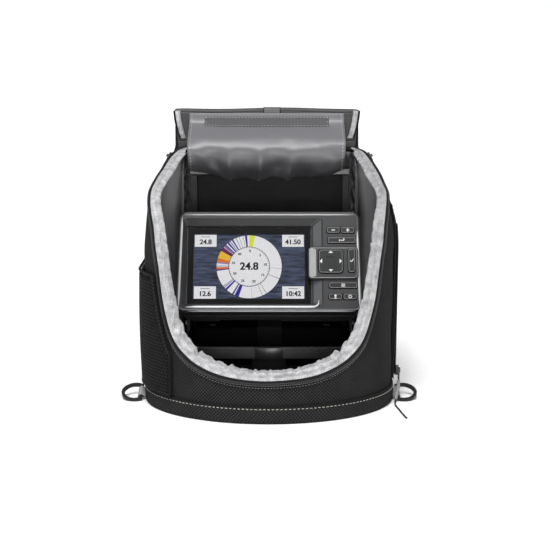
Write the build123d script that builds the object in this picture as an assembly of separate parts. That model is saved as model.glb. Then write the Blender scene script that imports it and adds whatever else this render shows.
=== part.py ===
"""Portable ice-fishing fish finder: a five-inch sonar display on a tilt and swivel mount, carried with its
battery on a moulded plastic carrier inside a soft padded bag.

Frame: millimetres, +Z up, origin at the centre of the bag's flat bottom. The bag's mouth faces -Y, the
keys are on the +X side, and the lid is stored folded over behind the bag.
"""

from build123d import *
import math
import os

# ---------------------------------------------------------------- driving dimensions
# Bag outline, measured at the outside of the moulded boot. Layers inside it are set by an inset.
BOOT_HALF_WIDTH = 118.5
FRONT_CENTRE_Y = -28.0      # centre of the half ellipse that makes the rounded front
FRONT_DEPTH = 80.0          # from that centre to the front of the boot
BACK_Y = 100.0
REAR_CORNER_R = 32.0
BAG_TOP_Z = 232.0
SHOULDER_WIDTH = 34.0       # how far the side walls lean in at the top
SHOULDER_HEIGHT = 90.0
SHELL_INSET = 2.5           # outside of the padded fabric wall
LINING_INSET = 6.5          # inside of the padded wall, outside of the lining
INNER_INSET = 7.3           # inside of the lining
BOOT_HEIGHT = 16.0
BOOT_FLOOR = 2.5
SHELL_FLOOR = 5.0
BOARD_BOTTOM, BOARD_TOP = 5.2, 7.7
TAPE_INSET = 1.6
SEAM_GAP = 0.03             # half the gap between the front panel and the side panels

# Side view of the mouth, front to back, as (y, z).
MOUTH_PROFILE = [
    (-112.0, 37.0), (-104.0, 40.5), (-96.0, 47.5), (-88.0, 57.0), (-80.0, 72.0), (-74.0, 95.0),
    (-69.0, 122.0), (-65.0, 150.0), (-58.0, 176.0), (-38.0, 197.0), (0.0, 210.0), (50.0, 221.5),
    (94.0, 230.5),
]
MOUTH_CLEAR_Z = 270.0
MOUTH_CLEAR_Y = -150.0
FACING_WIDTH = 8.0
FACING_THICK = 1.8
FACING_END_Y = 48.0

# Display unit. Its own axes are u across (+X), v up the face and n out of the face.
FACE_Y, FACE_Z = 0.0, 127.4          # centre of the front face
FACE_LEAN = 27.0                     # degrees that the face leans back
FACE_HEIGHT = 101.0
FACE_HALF_TOP, FACE_HALF_BOTTOM = 88.0, 90.0
FACE_CORNER_R = 9.0
BEZEL_DEPTH = 16.0
GASKET_THICK = 1.0
UNIT_DEPTH = 46.0
HOUSING_WALL = 2.5
GLASS_CENTRE = (-19.5, -2.5)
GLASS_SIZE = (121.0, 79.0)
WELL_CENTRE = (-16.0, -1.25)
WELL_SIZE = (136.0, 89.5)
WELL_DEPTH = 5.0
GLASS_THICK = 1.5
POD_CENTRE, POD_SIZE, POD_RISE = (61.5, -2.45), (48.6, 32.3), 2.5
KEY_GAP = 0.35
PAD_GAP = 0.6               # the arrow pad rocks, so its hole is wider
KEY_RISE = 1.2
KEY_BOTTOM = -7.6
# name: (centre u, centre v, width, height, height of the surface that it stands in)
KEY_CORNER_MAX = 3.4
KEYS = {
    "key_zoom_out": (62.0, 30.8, 13.2, 6.2, 0.0),
    "key_zoom_in": (76.0, 30.8, 13.2, 6.2, 0.0),
    "key_back": (70.0, 20.6, 27.5, 6.2, 0.0),
    "key_arrow_pad": (59.1, -1.2, 23.4, 23.6, POD_RISE),
    "key_select": (79.2, -0.6, 7.2, 23.6, POD_RISE),
    "key_menu": (70.8, -24.4, 27.5, 6.2, 0.0),
    "key_mark": (63.2, -35.5, 13.2, 6.2, 0.0),
    "key_home": (77.2, -35.5, 13.2, 6.2, 0.0),
}
HOUSING_SCREWS = [(-74.0, 30.0), (74.0, 30.0), (-74.0, -38.0), (74.0, -38.0)]
SOCKET_CENTRES = [(-48.0, -26.0), (48.0, -26.0)]

# Mount, carrier and battery.
PIN_N = -60.0               # the tilt pin is this far behind the face, level with its centre
PIN_R = 3.0
SWIVEL_Y = 66.0
SHELF_BOTTOM, SHELF_TOP = 60.0, 64.0
SHELF_FRONT, SHELF_BACK = 40.0, 90.0
CARRIER_HALF_WIDTH = 84.0
CARRIER_WALL = 3.0
CARRIER_BOTTOM = 8.0
CARRIER_FRONT = -52.0
TOWER_FRONT, TOWER_BACK = 54.0, 90.0
TOWER_TOP = 224.0
TRUSS_BAR = 3.0
TRUSS_CELL = 23.0
TRUSS_SPLAY = 7.0
RAIL_BOTTOM, RAIL_TOP = 45.0, 55.6
GRIP_HALF_WIDTH = 17.0
BATTERY_SIZE = (150.0, 58.0, 42.0)
BATTERY_CENTRE_Y = 58.0
BATTERY_BOTTOM = 11.2

# Lid, folded up and over behind the bag.
LID_HINGE_Y, LID_HINGE_Z = 98.0, 230.5
LID_THICK = 3.5
LID_ROOT_Y = 99.25          # middle of the standing panel
LID_FOLD_Y, LID_FOLD_Z = 101.5, 265.5
LID_BACK_Y = 2 * LID_FOLD_Y - LID_ROOT_Y
LID_BEND_Z = 148.0
LID_GAP = 1.5               # bare cloth left at each fold
LID_END_Z = 6.0
LID_END_RISE = 60.0
LID_ROOT_HALF = 95.0
LID_WIDE_HALF = 104.0
LID_NECK_Z = 228.0          # the hanging panel stays narrow down to here
FLAP_HALF = 80.0
FLAP_THICK = 1.2
FLAP_PROFILE = [
    (94.2, 262.0), (92.0, 254.0), (85.0, 247.5), (74.5, 243.0), (63.0, 237.5), (55.0, 228.5), (53.0, 216.5),
    (56.0, 205.5), (60.0, 198.5),
]
HOOK_STRIP_WIDTH, HOOK_STRIP_THICK = 126.0, 1.0

# Side pockets, strap rings and the side pocket's zip.
POCKET_INSET = -2.7
POCKET_SKIN = 1.2
SIDE_POCKET_INSET = -3.0
ZIP_Y = -25.0
ZIP_BOTTOM, ZIP_TOP = 20.0, 170.0
SLIDER_X = BOOT_HALF_WIDTH - SIDE_POCKET_INSET + 0.2
SLIDER_Z = 26.0
BAIL_X = SLIDER_X + 2.5
BAIL_LENGTH = 11.0
RING_WIRE_R = 1.5
RING_HALF_BAR = 10.0
RING_REACH = 17.5
RING_CENTRE = (122.3, -31.0, 5.4)
RING_TILT = 20.0

# The side zip's pull: a sleeved cord slants forwards from the bail over the ring's tab, then its bare tail
# lies on the ground in front of it.
SLEEVE_R = 1.6
SLEEVE_ROUTE = [
    (124.2, -25.6, 15.2), (123.7, -30.4, 12.4), (122.3, -36.4, 9.4), (120.6, -41.4, 6.0), (119.5, -45.6, 3.0),
]
CORD_R = 0.8
CORD_ROUTE = [
    (119.5, -45.6, 3.0), (118.8, -49.0, 1.4), (118.3, -53.6, 0.9), (118.9, -60.6, 0.9), (120.9, -70.4, 0.9),
    (122.4, -81.6, 0.9), (124.6, -92.2, 0.9),
]


def section_plan(inset):
    """The bag's outline seen from above, moved inwards by inset."""
    half = BOOT_HALF_WIDTH - inset
    front = FRONT_CENTRE_Y
    back = BACK_Y - inset
    r = REAR_CORNER_R - inset
    nose = EllipticalCenterArc((0, front), half, FRONT_DEPTH - inset, 180, arc_size=180)
    right = Line((half, front), (half, back - r))
    corner_right = CenterArc((half - r, back - r), r, 0, 90)
    rear = Line((half - r, back), (r - half, back))
    corner_left = CenterArc((r - half, back - r), r, 90, 90)
    left = Line((-half, back - r), (-half, front))
    return make_face([nose, right, corner_right, rear, corner_left, left])


def front_view(inset, bottom):
    """The bag seen from the front: straight sides that lean in at the shoulders."""
    half = BOOT_HALF_WIDTH - inset
    a, b = SHOULDER_WIDTH - inset, SHOULDER_HEIGHT - inset
    spring = BAG_TOP_Z - SHOULDER_HEIGHT
    edges = [
        Line((-half, bottom), (half, bottom)),
        Line((half, bottom), (half, spring)),
        EllipticalCenterArc((half - a, spring), a, b, 0, arc_size=90),
        Line((half - a, spring + b), (a - half, spring + b)),
        EllipticalCenterArc((a - half, spring), a, b, 90, arc_size=90),
        Line((-half, spring), (-half, bottom)),
    ]
    return make_face(edges)


def bag_body(inset, bottom=0.0):
    """The bag's solid volume from bottom up, moved inwards by inset."""
    prism = Pos(0, 0, bottom) * extrude(section_plan(inset), BAG_TOP_Z - bottom)
    face = Plane.XZ * front_view(inset, bottom)
    slab = extrude(face, 200, both=True)
    return prism & slab


def mouth_cutter(dy=0.0, dz=0.0):
    """Everything above and in front of the mouth's edge."""
    curve = Spline(*MOUTH_PROFILE)
    rear_y, rear_z = MOUTH_PROFILE[-1]
    front_y, front_z = MOUTH_PROFILE[0]
    rest = Polyline(
        (rear_y, rear_z), (rear_y, MOUTH_CLEAR_Z), (MOUTH_CLEAR_Y, MOUTH_CLEAR_Z),
        (MOUTH_CLEAR_Y, front_z), (front_y, front_z),
    )
    face = Plane.YZ * make_face([curve, rest])
    return Pos(0, dy, dz) * extrude(face, 200, both=True)


def side_x(y, z, inset):
    """Half width of the bag's surface at a height and a depth."""
    half = BOOT_HALF_WIDTH - inset
    plan = half
    if y < FRONT_CENTRE_Y:
        share = (FRONT_CENTRE_Y - y) / (FRONT_DEPTH - inset)
        plan = half * math.sqrt(max(0.0, 1 - share * share))
    spring = BAG_TOP_Z - SHOULDER_HEIGHT
    lean = half
    if z > spring:
        share = min(1.0, (z - spring) / (SHOULDER_HEIGHT - inset))
        lean = half - (SHOULDER_WIDTH - inset) * (1 - math.sqrt(1 - share * share))
    return min(plan, lean)


# ---------------------------------------------------------------- the bag
def base_boot():
    outer = bag_body(0.0) & Pos(0, 0, BOOT_HEIGHT / 2) * Box(400, 400, BOOT_HEIGHT)
    return outer - bag_body(SHELL_INSET, BOOT_FLOOR)


def bag_walls():
    """The padded cloth walls and floor, before they are cut into panels."""
    outer = bag_body(SHELL_INSET + 0.05, BOOT_FLOOR)
    return outer - bag_body(LINING_INSET, SHELL_FLOOR) - mouth_cutter()


def bag_front():
    """The rounded front panel, up to the side seams."""
    return bag_walls() & Pos(0, FRONT_CENTRE_Y - 100 - SEAM_GAP, 130) * Box(400, 200, 400)


def bag_shell():
    """The side and back panels, behind the side seams."""
    return bag_walls() & Pos(0, FRONT_CENTRE_Y + 100 + SEAM_GAP, 130) * Box(400, 200, 400)


def bag_lining():
    outer = bag_body(LINING_INSET + 0.05, SHELL_FLOOR + 0.05)
    inner = bag_body(INNER_INSET, SHELL_FLOOR + 0.1)
    above_board = Pos(0, 0, BOARD_TOP + 150) * Box(400, 400, 300)
    return (outer - inner - mouth_cutter(1.5, -1.5)) & above_board


def base_board():
    return Pos(0, 0, BOARD_BOTTOM) * extrude(section_plan(INNER_INSET + 1), BOARD_TOP - BOARD_BOTTOM)


def zip_tape_bag():
    skin = bag_body(TAPE_INSET) - bag_body(SHELL_INSET)
    band = mouth_cutter(8.0, -5.5) - mouth_cutter()
    strip = skin & band
    return strip & Pos(0, -8, 130) * Box(400, 190, 230)


def opening_facing():
    """Bound strip along the mouth's edge, inside the lining, ending in front of the carrier's towers."""
    ring = bag_body(INNER_INSET + 0.1, SHELL_FLOOR) - bag_body(INNER_INSET + 0.1 + FACING_WIDTH, SHELL_FLOOR)
    sheet = mouth_cutter(FACING_THICK, -FACING_THICK) - mouth_cutter()
    mouth = Pos(0, 100, 130) * Box(2 * (BOOT_HALF_WIDTH - SHOULDER_WIDTH), 240, 400)
    return (ring & sheet & Pos(0, FACING_END_Y - 100, 130) * Box(400, 200, 260)) - mouth


def back_pad():
    pad = Box(150, 4.0, 120)
    pad = fillet(pad.edges().filter_by(Axis.Y), 14)
    return Pos(0, BACK_Y - INNER_INSET - 2.1, 158) * pad


def mesh_pocket():
    bottom, top = 19.0, 128.0
    height = top - bottom
    region = Pos(-112, -10, bottom + height / 2) * Box(56, 160, height)
    room = Pos(-112, -10, bottom + POCKET_SKIN + height / 2) * Box(53, 157, height)
    outer = bag_body(POCKET_INSET - POCKET_SKIN) & region
    inner = bag_body(POCKET_INSET) & room
    return outer - inner - bag_body(SHELL_INSET - 0.1) - mouth_cutter(14.0, -8.0)


def side_pocket():
    region = Pos(112, 20, 104) * Box(60, 104, 168)
    pad = (bag_body(SIDE_POCKET_INSET) & region) - bag_body(SHELL_INSET - 0.1)
    track = Pos(BOOT_HALF_WIDTH - SIDE_POCKET_INSET, ZIP_Y, 100) * Box(3.2, 11, 400)
    return pad - track


def side_zip_tape():
    x = BOOT_HALF_WIDTH - SIDE_POCKET_INSET - 1.6
    height = ZIP_TOP - ZIP_BOTTOM - 6
    strip = Pos(x + 0.4, ZIP_Y, (ZIP_TOP + ZIP_BOTTOM) / 2) * Box(0.7, 10.4, height)
    return strip & bag_body(SIDE_POCKET_INSET)


def slider_body(width, length, height):
    """A zip slider seen from above: a rounded plate with a bridge for its pull."""
    plate = fillet(Box(width, length, height * 0.5).edges().filter_by(Axis.Z), width * 0.3)
    bridge = Pos(0, 0, height * 0.35) * Box(width * 0.3, length * 0.5, height * 0.5)
    slot = Pos(0, 0, height * 0.32) * Box(width, length * 0.24, height * 0.16)
    return plate + bridge - slot


def side_zip_slider():
    body = slider_body(7.0, 9.0, 5.0)
    return Pos(SLIDER_X + 0.9, ZIP_Y, SLIDER_Z) * Rot(0, 90, 0) * Rot(0, 0, 90) * body


def side_zip_bail():
    """A flat open loop that hangs from the slider's bridge."""
    plate = fillet(Box(1.2, 6.0, BAIL_LENGTH).edges().filter_by(Axis.X), 2.4)
    hole = fillet(Box(3.0, 3.6, BAIL_LENGTH - 2.4).edges().filter_by(Axis.X), 1.5)
    eye = Pos(0, 0, BAIL_LENGTH / 2 - 0.6) * Rot(90, 0, 0) * Cylinder(0.38, 4.6)
    frame = plate - hole
    trim = Pos(0, 0, BAIL_LENGTH / 2) * Box(3, 3.0, 2.4)
    return Pos(BAIL_X, ZIP_Y, SLIDER_Z - BAIL_LENGTH / 2 + 0.6) * (frame - trim + eye)


def cord_tube(route, radius):
    """Straight runs joined by tangent arcs, each as large as its two runs allow."""
    points = [Vector(*p) for p in route]
    radii = []
    for a, b, c in zip(points, points[1:], points[2:]):
        turn = math.radians((b - a).get_angle(c - b))
        shorter = min((b - a).length, (c - b).length)
        radii.append(0.45 * shorter / math.tan(turn / 2))
    print("cord radii", [round(r, 1) for r in radii])
    path = FilletPolyline(*points, radius=radii)
    start = Plane(origin=path @ 0, z_dir=path % 0)
    tube = sweep(start * Circle(radius), path=path)
    share = tube.volume / (math.pi * radius**2 * path.length)
    print("cord length", round(path.length, 1), "volume share", round(share, 4))
    return tube


def pull_sleeve():
    return cord_tube(SLEEVE_ROUTE, SLEEVE_R)


def pull_cord():
    return cord_tube(CORD_ROUTE, CORD_R)


def ring_place(side):
    x, y, z = RING_CENTRE
    place = Pos(side * x, y, z) * Rot(RING_TILT, 0, 0)
    return place * Rot(0, 0, 180) if side < 0 else place


def strap_ring(side):
    """A moulded D: a round bar in the webbing tab and a bow that reaches outwards."""
    tip = RING_REACH
    half = RING_HALF_BAR
    outer = make_face([Line((0, -half), (0, half)), ThreePointArc((0, half), (tip, 0), (0, -half))])
    inner = offset(outer, -RING_WIRE_R)
    bow = offset(outer, RING_WIRE_R) - inner
    bow = extrude(bow, RING_WIRE_R * 0.9, both=True)
    bow = bow - Box(4 * RING_WIRE_R, 15.0, 20)
    bar = Rot(90, 0, 0) * Cylinder(RING_WIRE_R, 2 * half)
    return ring_place(side) * (bow + bar)


def ring_tab(side):
    """Webbing folded round the ring's bar and sewn to the boot."""
    loop = Rot(90, 0, 0) * (Cylinder(RING_WIRE_R + 1.5, 13.0) - Cylinder(RING_WIRE_R + 0.4, 20.0))
    tail = Pos(-6.0, 0, 0) * Box(7.0, 13.0, 2.6)
    tab = ring_place(side) * (loop + tail)
    return tab - bag_body(-0.05)


# ---------------------------------------------------------------- the lid
def lid_root():
    bottom, top = LID_HINGE_Z + LID_GAP, LID_FOLD_Z - LID_GAP
    return Pos(0, LID_ROOT_Y, (bottom + top) / 2) * Box(2 * LID_ROOT_HALF, LID_THICK, top - bottom)


def lid_top():
    """The upper part of the sheet that hangs behind the bag, from the fold to the bend."""
    top, bottom = LID_FOLD_Z - LID_GAP, LID_BEND_Z + LID_GAP
    spread = (top + bottom) / 2
    sheet = make_face(Polyline(
        (-LID_ROOT_HALF, top), (LID_ROOT_HALF, top), (LID_ROOT_HALF, LID_NECK_Z), (LID_WIDE_HALF, spread),
        (LID_WIDE_HALF, bottom), (-LID_WIDE_HALF, bottom), (-LID_WIDE_HALF, spread),
        (-LID_ROOT_HALF, LID_NECK_Z), close=True,
    ))
    return Pos(0, LID_BACK_Y, 0) * extrude(Plane.XZ * sheet, LID_THICK / 2, both=True)


def lid_front():
    """The lid's rounded end, which closes the front of the mouth."""
    top = LID_BEND_Z - LID_GAP
    round_z = LID_END_Z + LID_END_RISE
    side = LID_WIDE_HALF
    outline = make_face([
        Line((-side, round_z), (-side, top)),
        Line((-side, top), (side, top)),
        Line((side, top), (side, round_z)),
        EllipticalCenterArc((0, round_z), side, LID_END_RISE, 180, arc_size=180),
    ])
    return Pos(0, LID_BACK_Y, 0) * extrude(Plane.XZ * outline, LID_THICK / 2, both=True)


def lid_pull_tab():
    """A webbing loop sewn to the lid's lining near the fold."""
    return Pos(2.4, LID_HINGE_Y - 1.3, LID_FOLD_Z - 5.0) * Box(16.5, 1.4, 13.0)


def flap_layer(path, width, thick, lift):
    """A strip of cloth that follows the flap's line, lifted off it towards the front."""
    start = Plane(origin=path @ 0, z_dir=path % 0, x_dir=(1, 0, 0))
    return sweep(start * Pos(0, lift) * Rectangle(width, thick), path=path)


def rear_flap():
    """A lining flap that hangs from the lid's inside in front of the carrier's top."""
    path = Plane.YZ * Spline(*FLAP_PROFILE)
    return flap_layer(path, 2 * FLAP_HALF, FLAP_THICK, 0)


def flap_hook_strip():
    """The hook strip sewn across the flap's front near its top."""
    path = (Plane.YZ * Spline(*FLAP_PROFILE)).edge().trim(0.03, 0.13)
    return flap_layer(path, HOOK_STRIP_WIDTH, HOOK_STRIP_THICK, (FLAP_THICK + HOOK_STRIP_THICK) / 2 + 0.05)


def main_zip_sliders():
    """Both sliders of the main zip, parked at the rear ends of its run."""
    y, z = 66.0, 221.6
    x = side_x(y, z, TAPE_INSET) + 2.0
    made = [Pos(side * x, y, z) * Rot(0, side * 62, 0) * slider_body(8.0, 11.0, 5.0) for side in (-1, 1)]
    return Compound(children=made)


# ---------------------------------------------------------------- the carrier
def carrier_base():
    """A ribbed floor plate with low edges that locate the battery."""
    length = TOWER_BACK - CARRIER_FRONT
    centre_y = (TOWER_BACK + CARRIER_FRONT) / 2
    width = 2 * (CARRIER_HALF_WIDTH - CARRIER_WALL) - 0.2
    plate = Box(width, length, 3.0)
    for y in (-38.0, -22.0, -6.0, 10.0):
        for x in (-46.0, 46.0):
            plate -= Pos(x, y, 0) * Box(34.0, 5.0, 10.0)
    rib_x = BATTERY_SIZE[0] / 2 + 1.6
    ribs = [Pos(side * rib_x, BATTERY_CENTRE_Y - centre_y, 5.5) * Box(2.0, 50.0, 8.0) for side in (-1, 1)]
    stop = Pos(0, BATTERY_CENTRE_Y - BATTERY_SIZE[1] / 2 - 1.6 - centre_y, 3.5) * Box(60.0, 2.0, 4.0)
    bosses = [Pos(x, -36.0 - centre_y, 3.0) * Cylinder(4.0, 3.0) for x in (-60.0, -20.0, 20.0, 60.0)]
    base = plate + ribs + [stop] + bosses
    return Pos(0, centre_y, CARRIER_BOTTOM + 1.5) * base


def truss_panel():
    """Flat lattice in the (depth, height) plane: two uprights, a rounded top and crossing diagonals."""
    depth = TOWER_BACK - TOWER_FRONT
    height = TOWER_TOP - SHELF_BOTTOM
    outer = make_face([
        Line((0, 0), (depth, 0)), Line((depth, 0), (depth, height)), Line((depth, height), (22, height)),
        ThreePointArc((22, height), (6.5, height - 6.5), (0, height - 22)), Line((0, height - 22), (0, 0)),
    ])
    frame = outer - offset(outer, -TRUSS_BAR)
    cells = int(height // TRUSS_CELL)
    pitch = height / cells
    bars = []
    for i in range(cells):
        a, b = (0, i * pitch), (depth, (i + 1) * pitch)
        c, d = (depth, i * pitch), (0, (i + 1) * pitch)
        for p, q in ((a, b), (c, d)):
            mid = ((p[0] + q[0]) / 2, (p[1] + q[1]) / 2)
            angle = math.degrees(math.atan2(q[1] - p[1], q[0] - p[0]))
            length = math.dist(p, q)
            bars.append(Pos(*mid) * Rot(0, 0, angle) * Rectangle(length, TRUSS_BAR * 0.75))
    lattice = frame
    for bar in bars:
        lattice += bar & outer
    return lattice


def carrier_side(side):
    """Low side wall of the battery bay with the splayed lattice tower behind it."""
    wall_outline = make_face(Polyline(
        (CARRIER_FRONT + 3.2, CARRIER_BOTTOM), (TOWER_BACK, CARRIER_BOTTOM), (TOWER_BACK, SHELF_BOTTOM + 2),
        (TOWER_FRONT, SHELF_BOTTOM + 2), (40.0, 47.0), (0.0, 47.0), (-36.0, 64.0),
        (CARRIER_FRONT + 3.2, 76.0),
        close=True,
    ))
    wall = extrude(Plane.YZ * wall_outline, CARRIER_WALL)
    wall = Pos(CARRIER_HALF_WIDTH - CARRIER_WALL, 0, 0) * wall
    panel = extrude(Plane.YZ * truss_panel(), TRUSS_BAR)
    tower = Pos(CARRIER_HALF_WIDTH - CARRIER_WALL + 0.4, TOWER_BACK, SHELF_BOTTOM) * Rot(0, 0, TRUSS_SPLAY)
    tower = tower * Pos(0, TOWER_FRONT - TOWER_BACK, 0) * panel
    whole = wall + tower
    return whole if side > 0 else mirror(whole, Plane.YZ)


def front_rail():
    """The bay's front: two posts, chamfered gussets, a rail and its rounded middle grip."""
    w = CARRIER_HALF_WIDTH
    inner = w - CARRIER_WALL
    outline = make_face(Polyline((-w, RAIL_BOTTOM), (w, RAIL_BOTTOM), (w, 76.0), (-w, 76.0), close=True))
    recess = make_face(Polyline(
        (-inner + 10.5, RAIL_TOP), (inner - 10.5, RAIL_TOP), (inner, RAIL_TOP + 10.5), (inner, 90.0),
        (-inner, 90.0), (-inner, RAIL_TOP + 10.5), close=True,
    ))
    plate = extrude(Plane.XZ * (outline - recess), 3.0)
    rail = Pos(0, CARRIER_FRONT + 3.0, 0) * plate
    lip = Pos(0, CARRIER_FRONT + 4.5, RAIL_BOTTOM + 1.0) * Box(2 * inner - 0.6, 3.0, 2.0)
    bow = Pos(0, CARRIER_FRONT + 28.0, (RAIL_BOTTOM + RAIL_TOP) / 2) * (
        Cylinder(31.0, RAIL_TOP - RAIL_BOTTOM) - Cylinder(28.0, 40.0))
    bow = bow & Pos(0, CARRIER_FRONT - 6, 50) * Box(2 * GRIP_HALF_WIDTH, 16.0, 40)
    foot = Pos(0, CARRIER_FRONT + 30.0, (CARRIER_BOTTOM + 3.2 + RAIL_BOTTOM) / 2) * (
        Cylinder(31.0, RAIL_BOTTOM - CARRIER_BOTTOM - 3.2) - Cylinder(28.4, 60.0))
    foot = foot & Pos(0, CARRIER_FRONT - 2, 30) * Box(2 * GRIP_HALF_WIDTH - 2, 14.0, 60)
    return rail + lip + bow + foot


def mount_shelf():
    depth = SHELF_BACK - SHELF_FRONT
    width = 2 * (CARRIER_HALF_WIDTH - CARRIER_WALL) - 0.2
    plate = Pos(0, (SHELF_FRONT + SHELF_BACK) / 2, (SHELF_BOTTOM + SHELF_TOP) / 2) * Box(width, depth, 4.0)
    for side in (-1, 1):
        plate -= Pos(side * width / 2, SHELF_FRONT, 62) * Rot(0, 0, 45) * Box(14, 14, 10)
    plate -= Pos(0, SWIVEL_Y, 62) * Cylinder(3.1, 20)
    return plate


def tower_beams():
    """Cross members that tie the two lattice towers together."""
    width = 2 * (CARRIER_HALF_WIDTH - CARRIER_WALL) + 0.9
    beams = []
    for z in (152.0, 204.0):
        bar = Pos(0, TOWER_BACK - 4.0, z) * Box(width, 5.0, 8.0)
        beams.append(fillet(bar.edges().filter_by(Axis.X), 1.5))
    return Compound(children=beams)


def carrier_screws():
    made = []
    for side in (-1, 1):
        for y in (48.0, 84.0):
            head = Pos(side * (CARRIER_HALF_WIDTH + 0.9), y, 53.5) * Rot(0, 90, 0)
            made.append(head * fillet(Cylinder(3.2, 1.7).edges(), 0.5))
    return Compound(children=made)


def battery_case():
    place = Pos(0, BATTERY_CENTRE_Y, BATTERY_BOTTOM + (BATTERY_SIZE[2] - 4) / 2)
    body = fillet(Box(BATTERY_SIZE[0], BATTERY_SIZE[1], BATTERY_SIZE[2] - 4).edges().filter_by(Axis.Z), 5)
    return place * body


def battery_lid():
    lid = fillet(Box(BATTERY_SIZE[0], BATTERY_SIZE[1], 3.8).edges().filter_by(Axis.Z), 5)
    lid = chamfer(lid.faces().sort_by(Axis.Z)[-1].edges(), 1.2)
    for x in (-58.0, 58.0):
        lid -= Pos(x, -16.0, 1.4) * Box(12.0, 10.0, 2.0)
    return Pos(0, BATTERY_CENTRE_Y, BATTERY_BOTTOM + BATTERY_SIZE[2] - 4 + 1.95) * lid


def battery_terminals():
    floor = BATTERY_BOTTOM + BATTERY_SIZE[2] - 4 + 2.36
    made = []
    for x in (-58.0, 58.0):
        made.append(Pos(x, BATTERY_CENTRE_Y - 16.0, floor + 1.1) * Box(6.3, 0.8, 2.2))
    return Compound(children=made)


def battery_strap():
    """Hook-and-loop strap round the battery's front and top."""
    top = BATTERY_BOTTOM + BATTERY_SIZE[2] + 0.1
    front = BATTERY_CENTRE_Y - BATTERY_SIZE[1] / 2
    over = Pos(0, BATTERY_CENTRE_Y, top + 0.5) * Box(25, BATTERY_SIZE[1] + 2.2, 1.0)
    height = top - CARRIER_BOTTOM - 7.8
    down = Pos(0, front - 0.6, top + 0.5 - height / 2) * Box(25, 1.0, height + 1.0)
    return over + down


# ---------------------------------------------------------------- the mount
DISPLAY_PLACE = Pos(0, FACE_Y, FACE_Z) * Rot(90 - FACE_LEAN, 0, 0)
LEAN = math.radians(FACE_LEAN)
PIN_Y = FACE_Y - PIN_N * math.cos(LEAN)
PIN_Z = FACE_Z + PIN_N * math.sin(LEAN)


def mount_base():
    disc = Cylinder(21.0, 3.0)
    disc = chamfer(disc.edges(), 0.6)
    disc -= Cylinder(3.1, 10)
    return Pos(0, SWIVEL_Y, SHELF_TOP + 1.5) * disc


def mount_yoke():
    bottom = SHELF_TOP + 3.1
    plate = Pos(0, 65.0, bottom + 2.0) * fillet(Box(54, 40, 4.0).edges().filter_by(Axis.Z), 8)
    plate -= Pos(0, SWIVEL_Y, bottom) * Cylinder(3.1, 20)
    ear = make_face(Polyline(
        (PIN_Y - 8.5, PIN_Z), (PIN_Y + 8.5, PIN_Z), (78.0, bottom + 1), (48.0, bottom + 1), close=True))
    ear = ear + Pos(PIN_Y, PIN_Z) * Circle(8.5)
    made = plate
    for side in (-1, 1):
        x = side * 23.3
        web = Pos(x, 0, 0) * extrude(Plane.YZ * ear, 2.9, both=True)
        made += web
    pin_hole = Pos(0, PIN_Y, PIN_Z) * Rot(0, 90, 0) * Cylinder(PIN_R + 0.05, 100)
    return made - pin_hole


def swivel_bolt():
    z = SHELF_TOP + 7.1
    head = Pos(0, SWIVEL_Y, z + 1.6) * extrude(RegularPolygon(5.5, 6), 1.5, both=True)
    shank = Pos(0, SWIVEL_Y, z - 6.6) * Cylinder(3.0, 13.4)
    nut = Pos(0, SWIVEL_Y, SHELF_BOTTOM - 1.45) * extrude(RegularPolygon(5.5, 6), 1.3, both=True)
    return head + shank + nut


def tilt_cradle():
    plate = Pos(0, 0, -UNIT_DEPTH - 2.6) * fillet(Box(52, 46, 5.0).edges().filter_by(Axis.Z), 6)
    neck_depth = -PIN_N - UNIT_DEPTH - 4
    neck = Pos(0, 0, PIN_N + neck_depth / 2) * Box(40, 13, neck_depth)
    barrel = Pos(0, 0, PIN_N) * Rot(0, 90, 0) * Cylinder(7.5, 40)
    bore = Pos(0, 0, PIN_N) * Rot(0, 90, 0) * Cylinder(PIN_R + 0.05, 100)
    return DISPLAY_PLACE * (plate + neck + barrel - bore)


def tilt_pin():
    shank = Rot(0, 90, 0) * Cylinder(PIN_R, 57.0)
    head = Pos(-29.2, 0, 0) * Rot(0, 90, 0) * Cylinder(5.5, 2.4)
    return Pos(0, PIN_Y, PIN_Z) * (shank + head)


def tilt_knob():
    knob = Cylinder(10.0, 9.0)
    for i in range(8):
        angle = math.radians(45 * i)
        knob -= Pos(11.6 * math.cos(angle), 11.6 * math.sin(angle), 0) * Cylinder(3.0, 20)
    knob = knob - Pos(0, 0, -3.5) * Cylinder(PIN_R + 0.08, 8)
    return Pos(31.5, PIN_Y, PIN_Z) * Rot(0, 90, 0) * knob


# ---------------------------------------------------------------- the display unit
def face_outline(half_top, half_bottom, v_bottom, v_top, radius):
    corners = [(-half_bottom, v_bottom), (half_bottom, v_bottom), (half_top, v_top), (-half_top, v_top)]
    face = make_face(Polyline(*corners, close=True))
    return fillet(face.vertices(), radius)


def unit_outline(inset=0.0):
    half = FACE_HEIGHT / 2 - inset
    radius = FACE_CORNER_R - inset
    return face_outline(FACE_HALF_TOP - inset, FACE_HALF_BOTTOM - inset, -half, half, radius)


def rear_outline(inset=0.0):
    return face_outline(82.0 - inset, 83.5 - inset, -49.5 + inset, 42.0 - inset, 10.0 - inset)


def key_place(name, n):
    u, v = KEYS[name][:2]
    return Pos(u, v, n)


def key_cap(name, grow=0.0):
    """Outline of a key's cap, or of its hole when grown."""
    width, height = KEYS[name][2:4]
    radius = min(min(width, height) * 0.32, KEY_CORNER_MAX)
    return fillet(Rectangle(width + 2 * grow, height + 2 * grow).vertices(), radius + grow)


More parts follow.
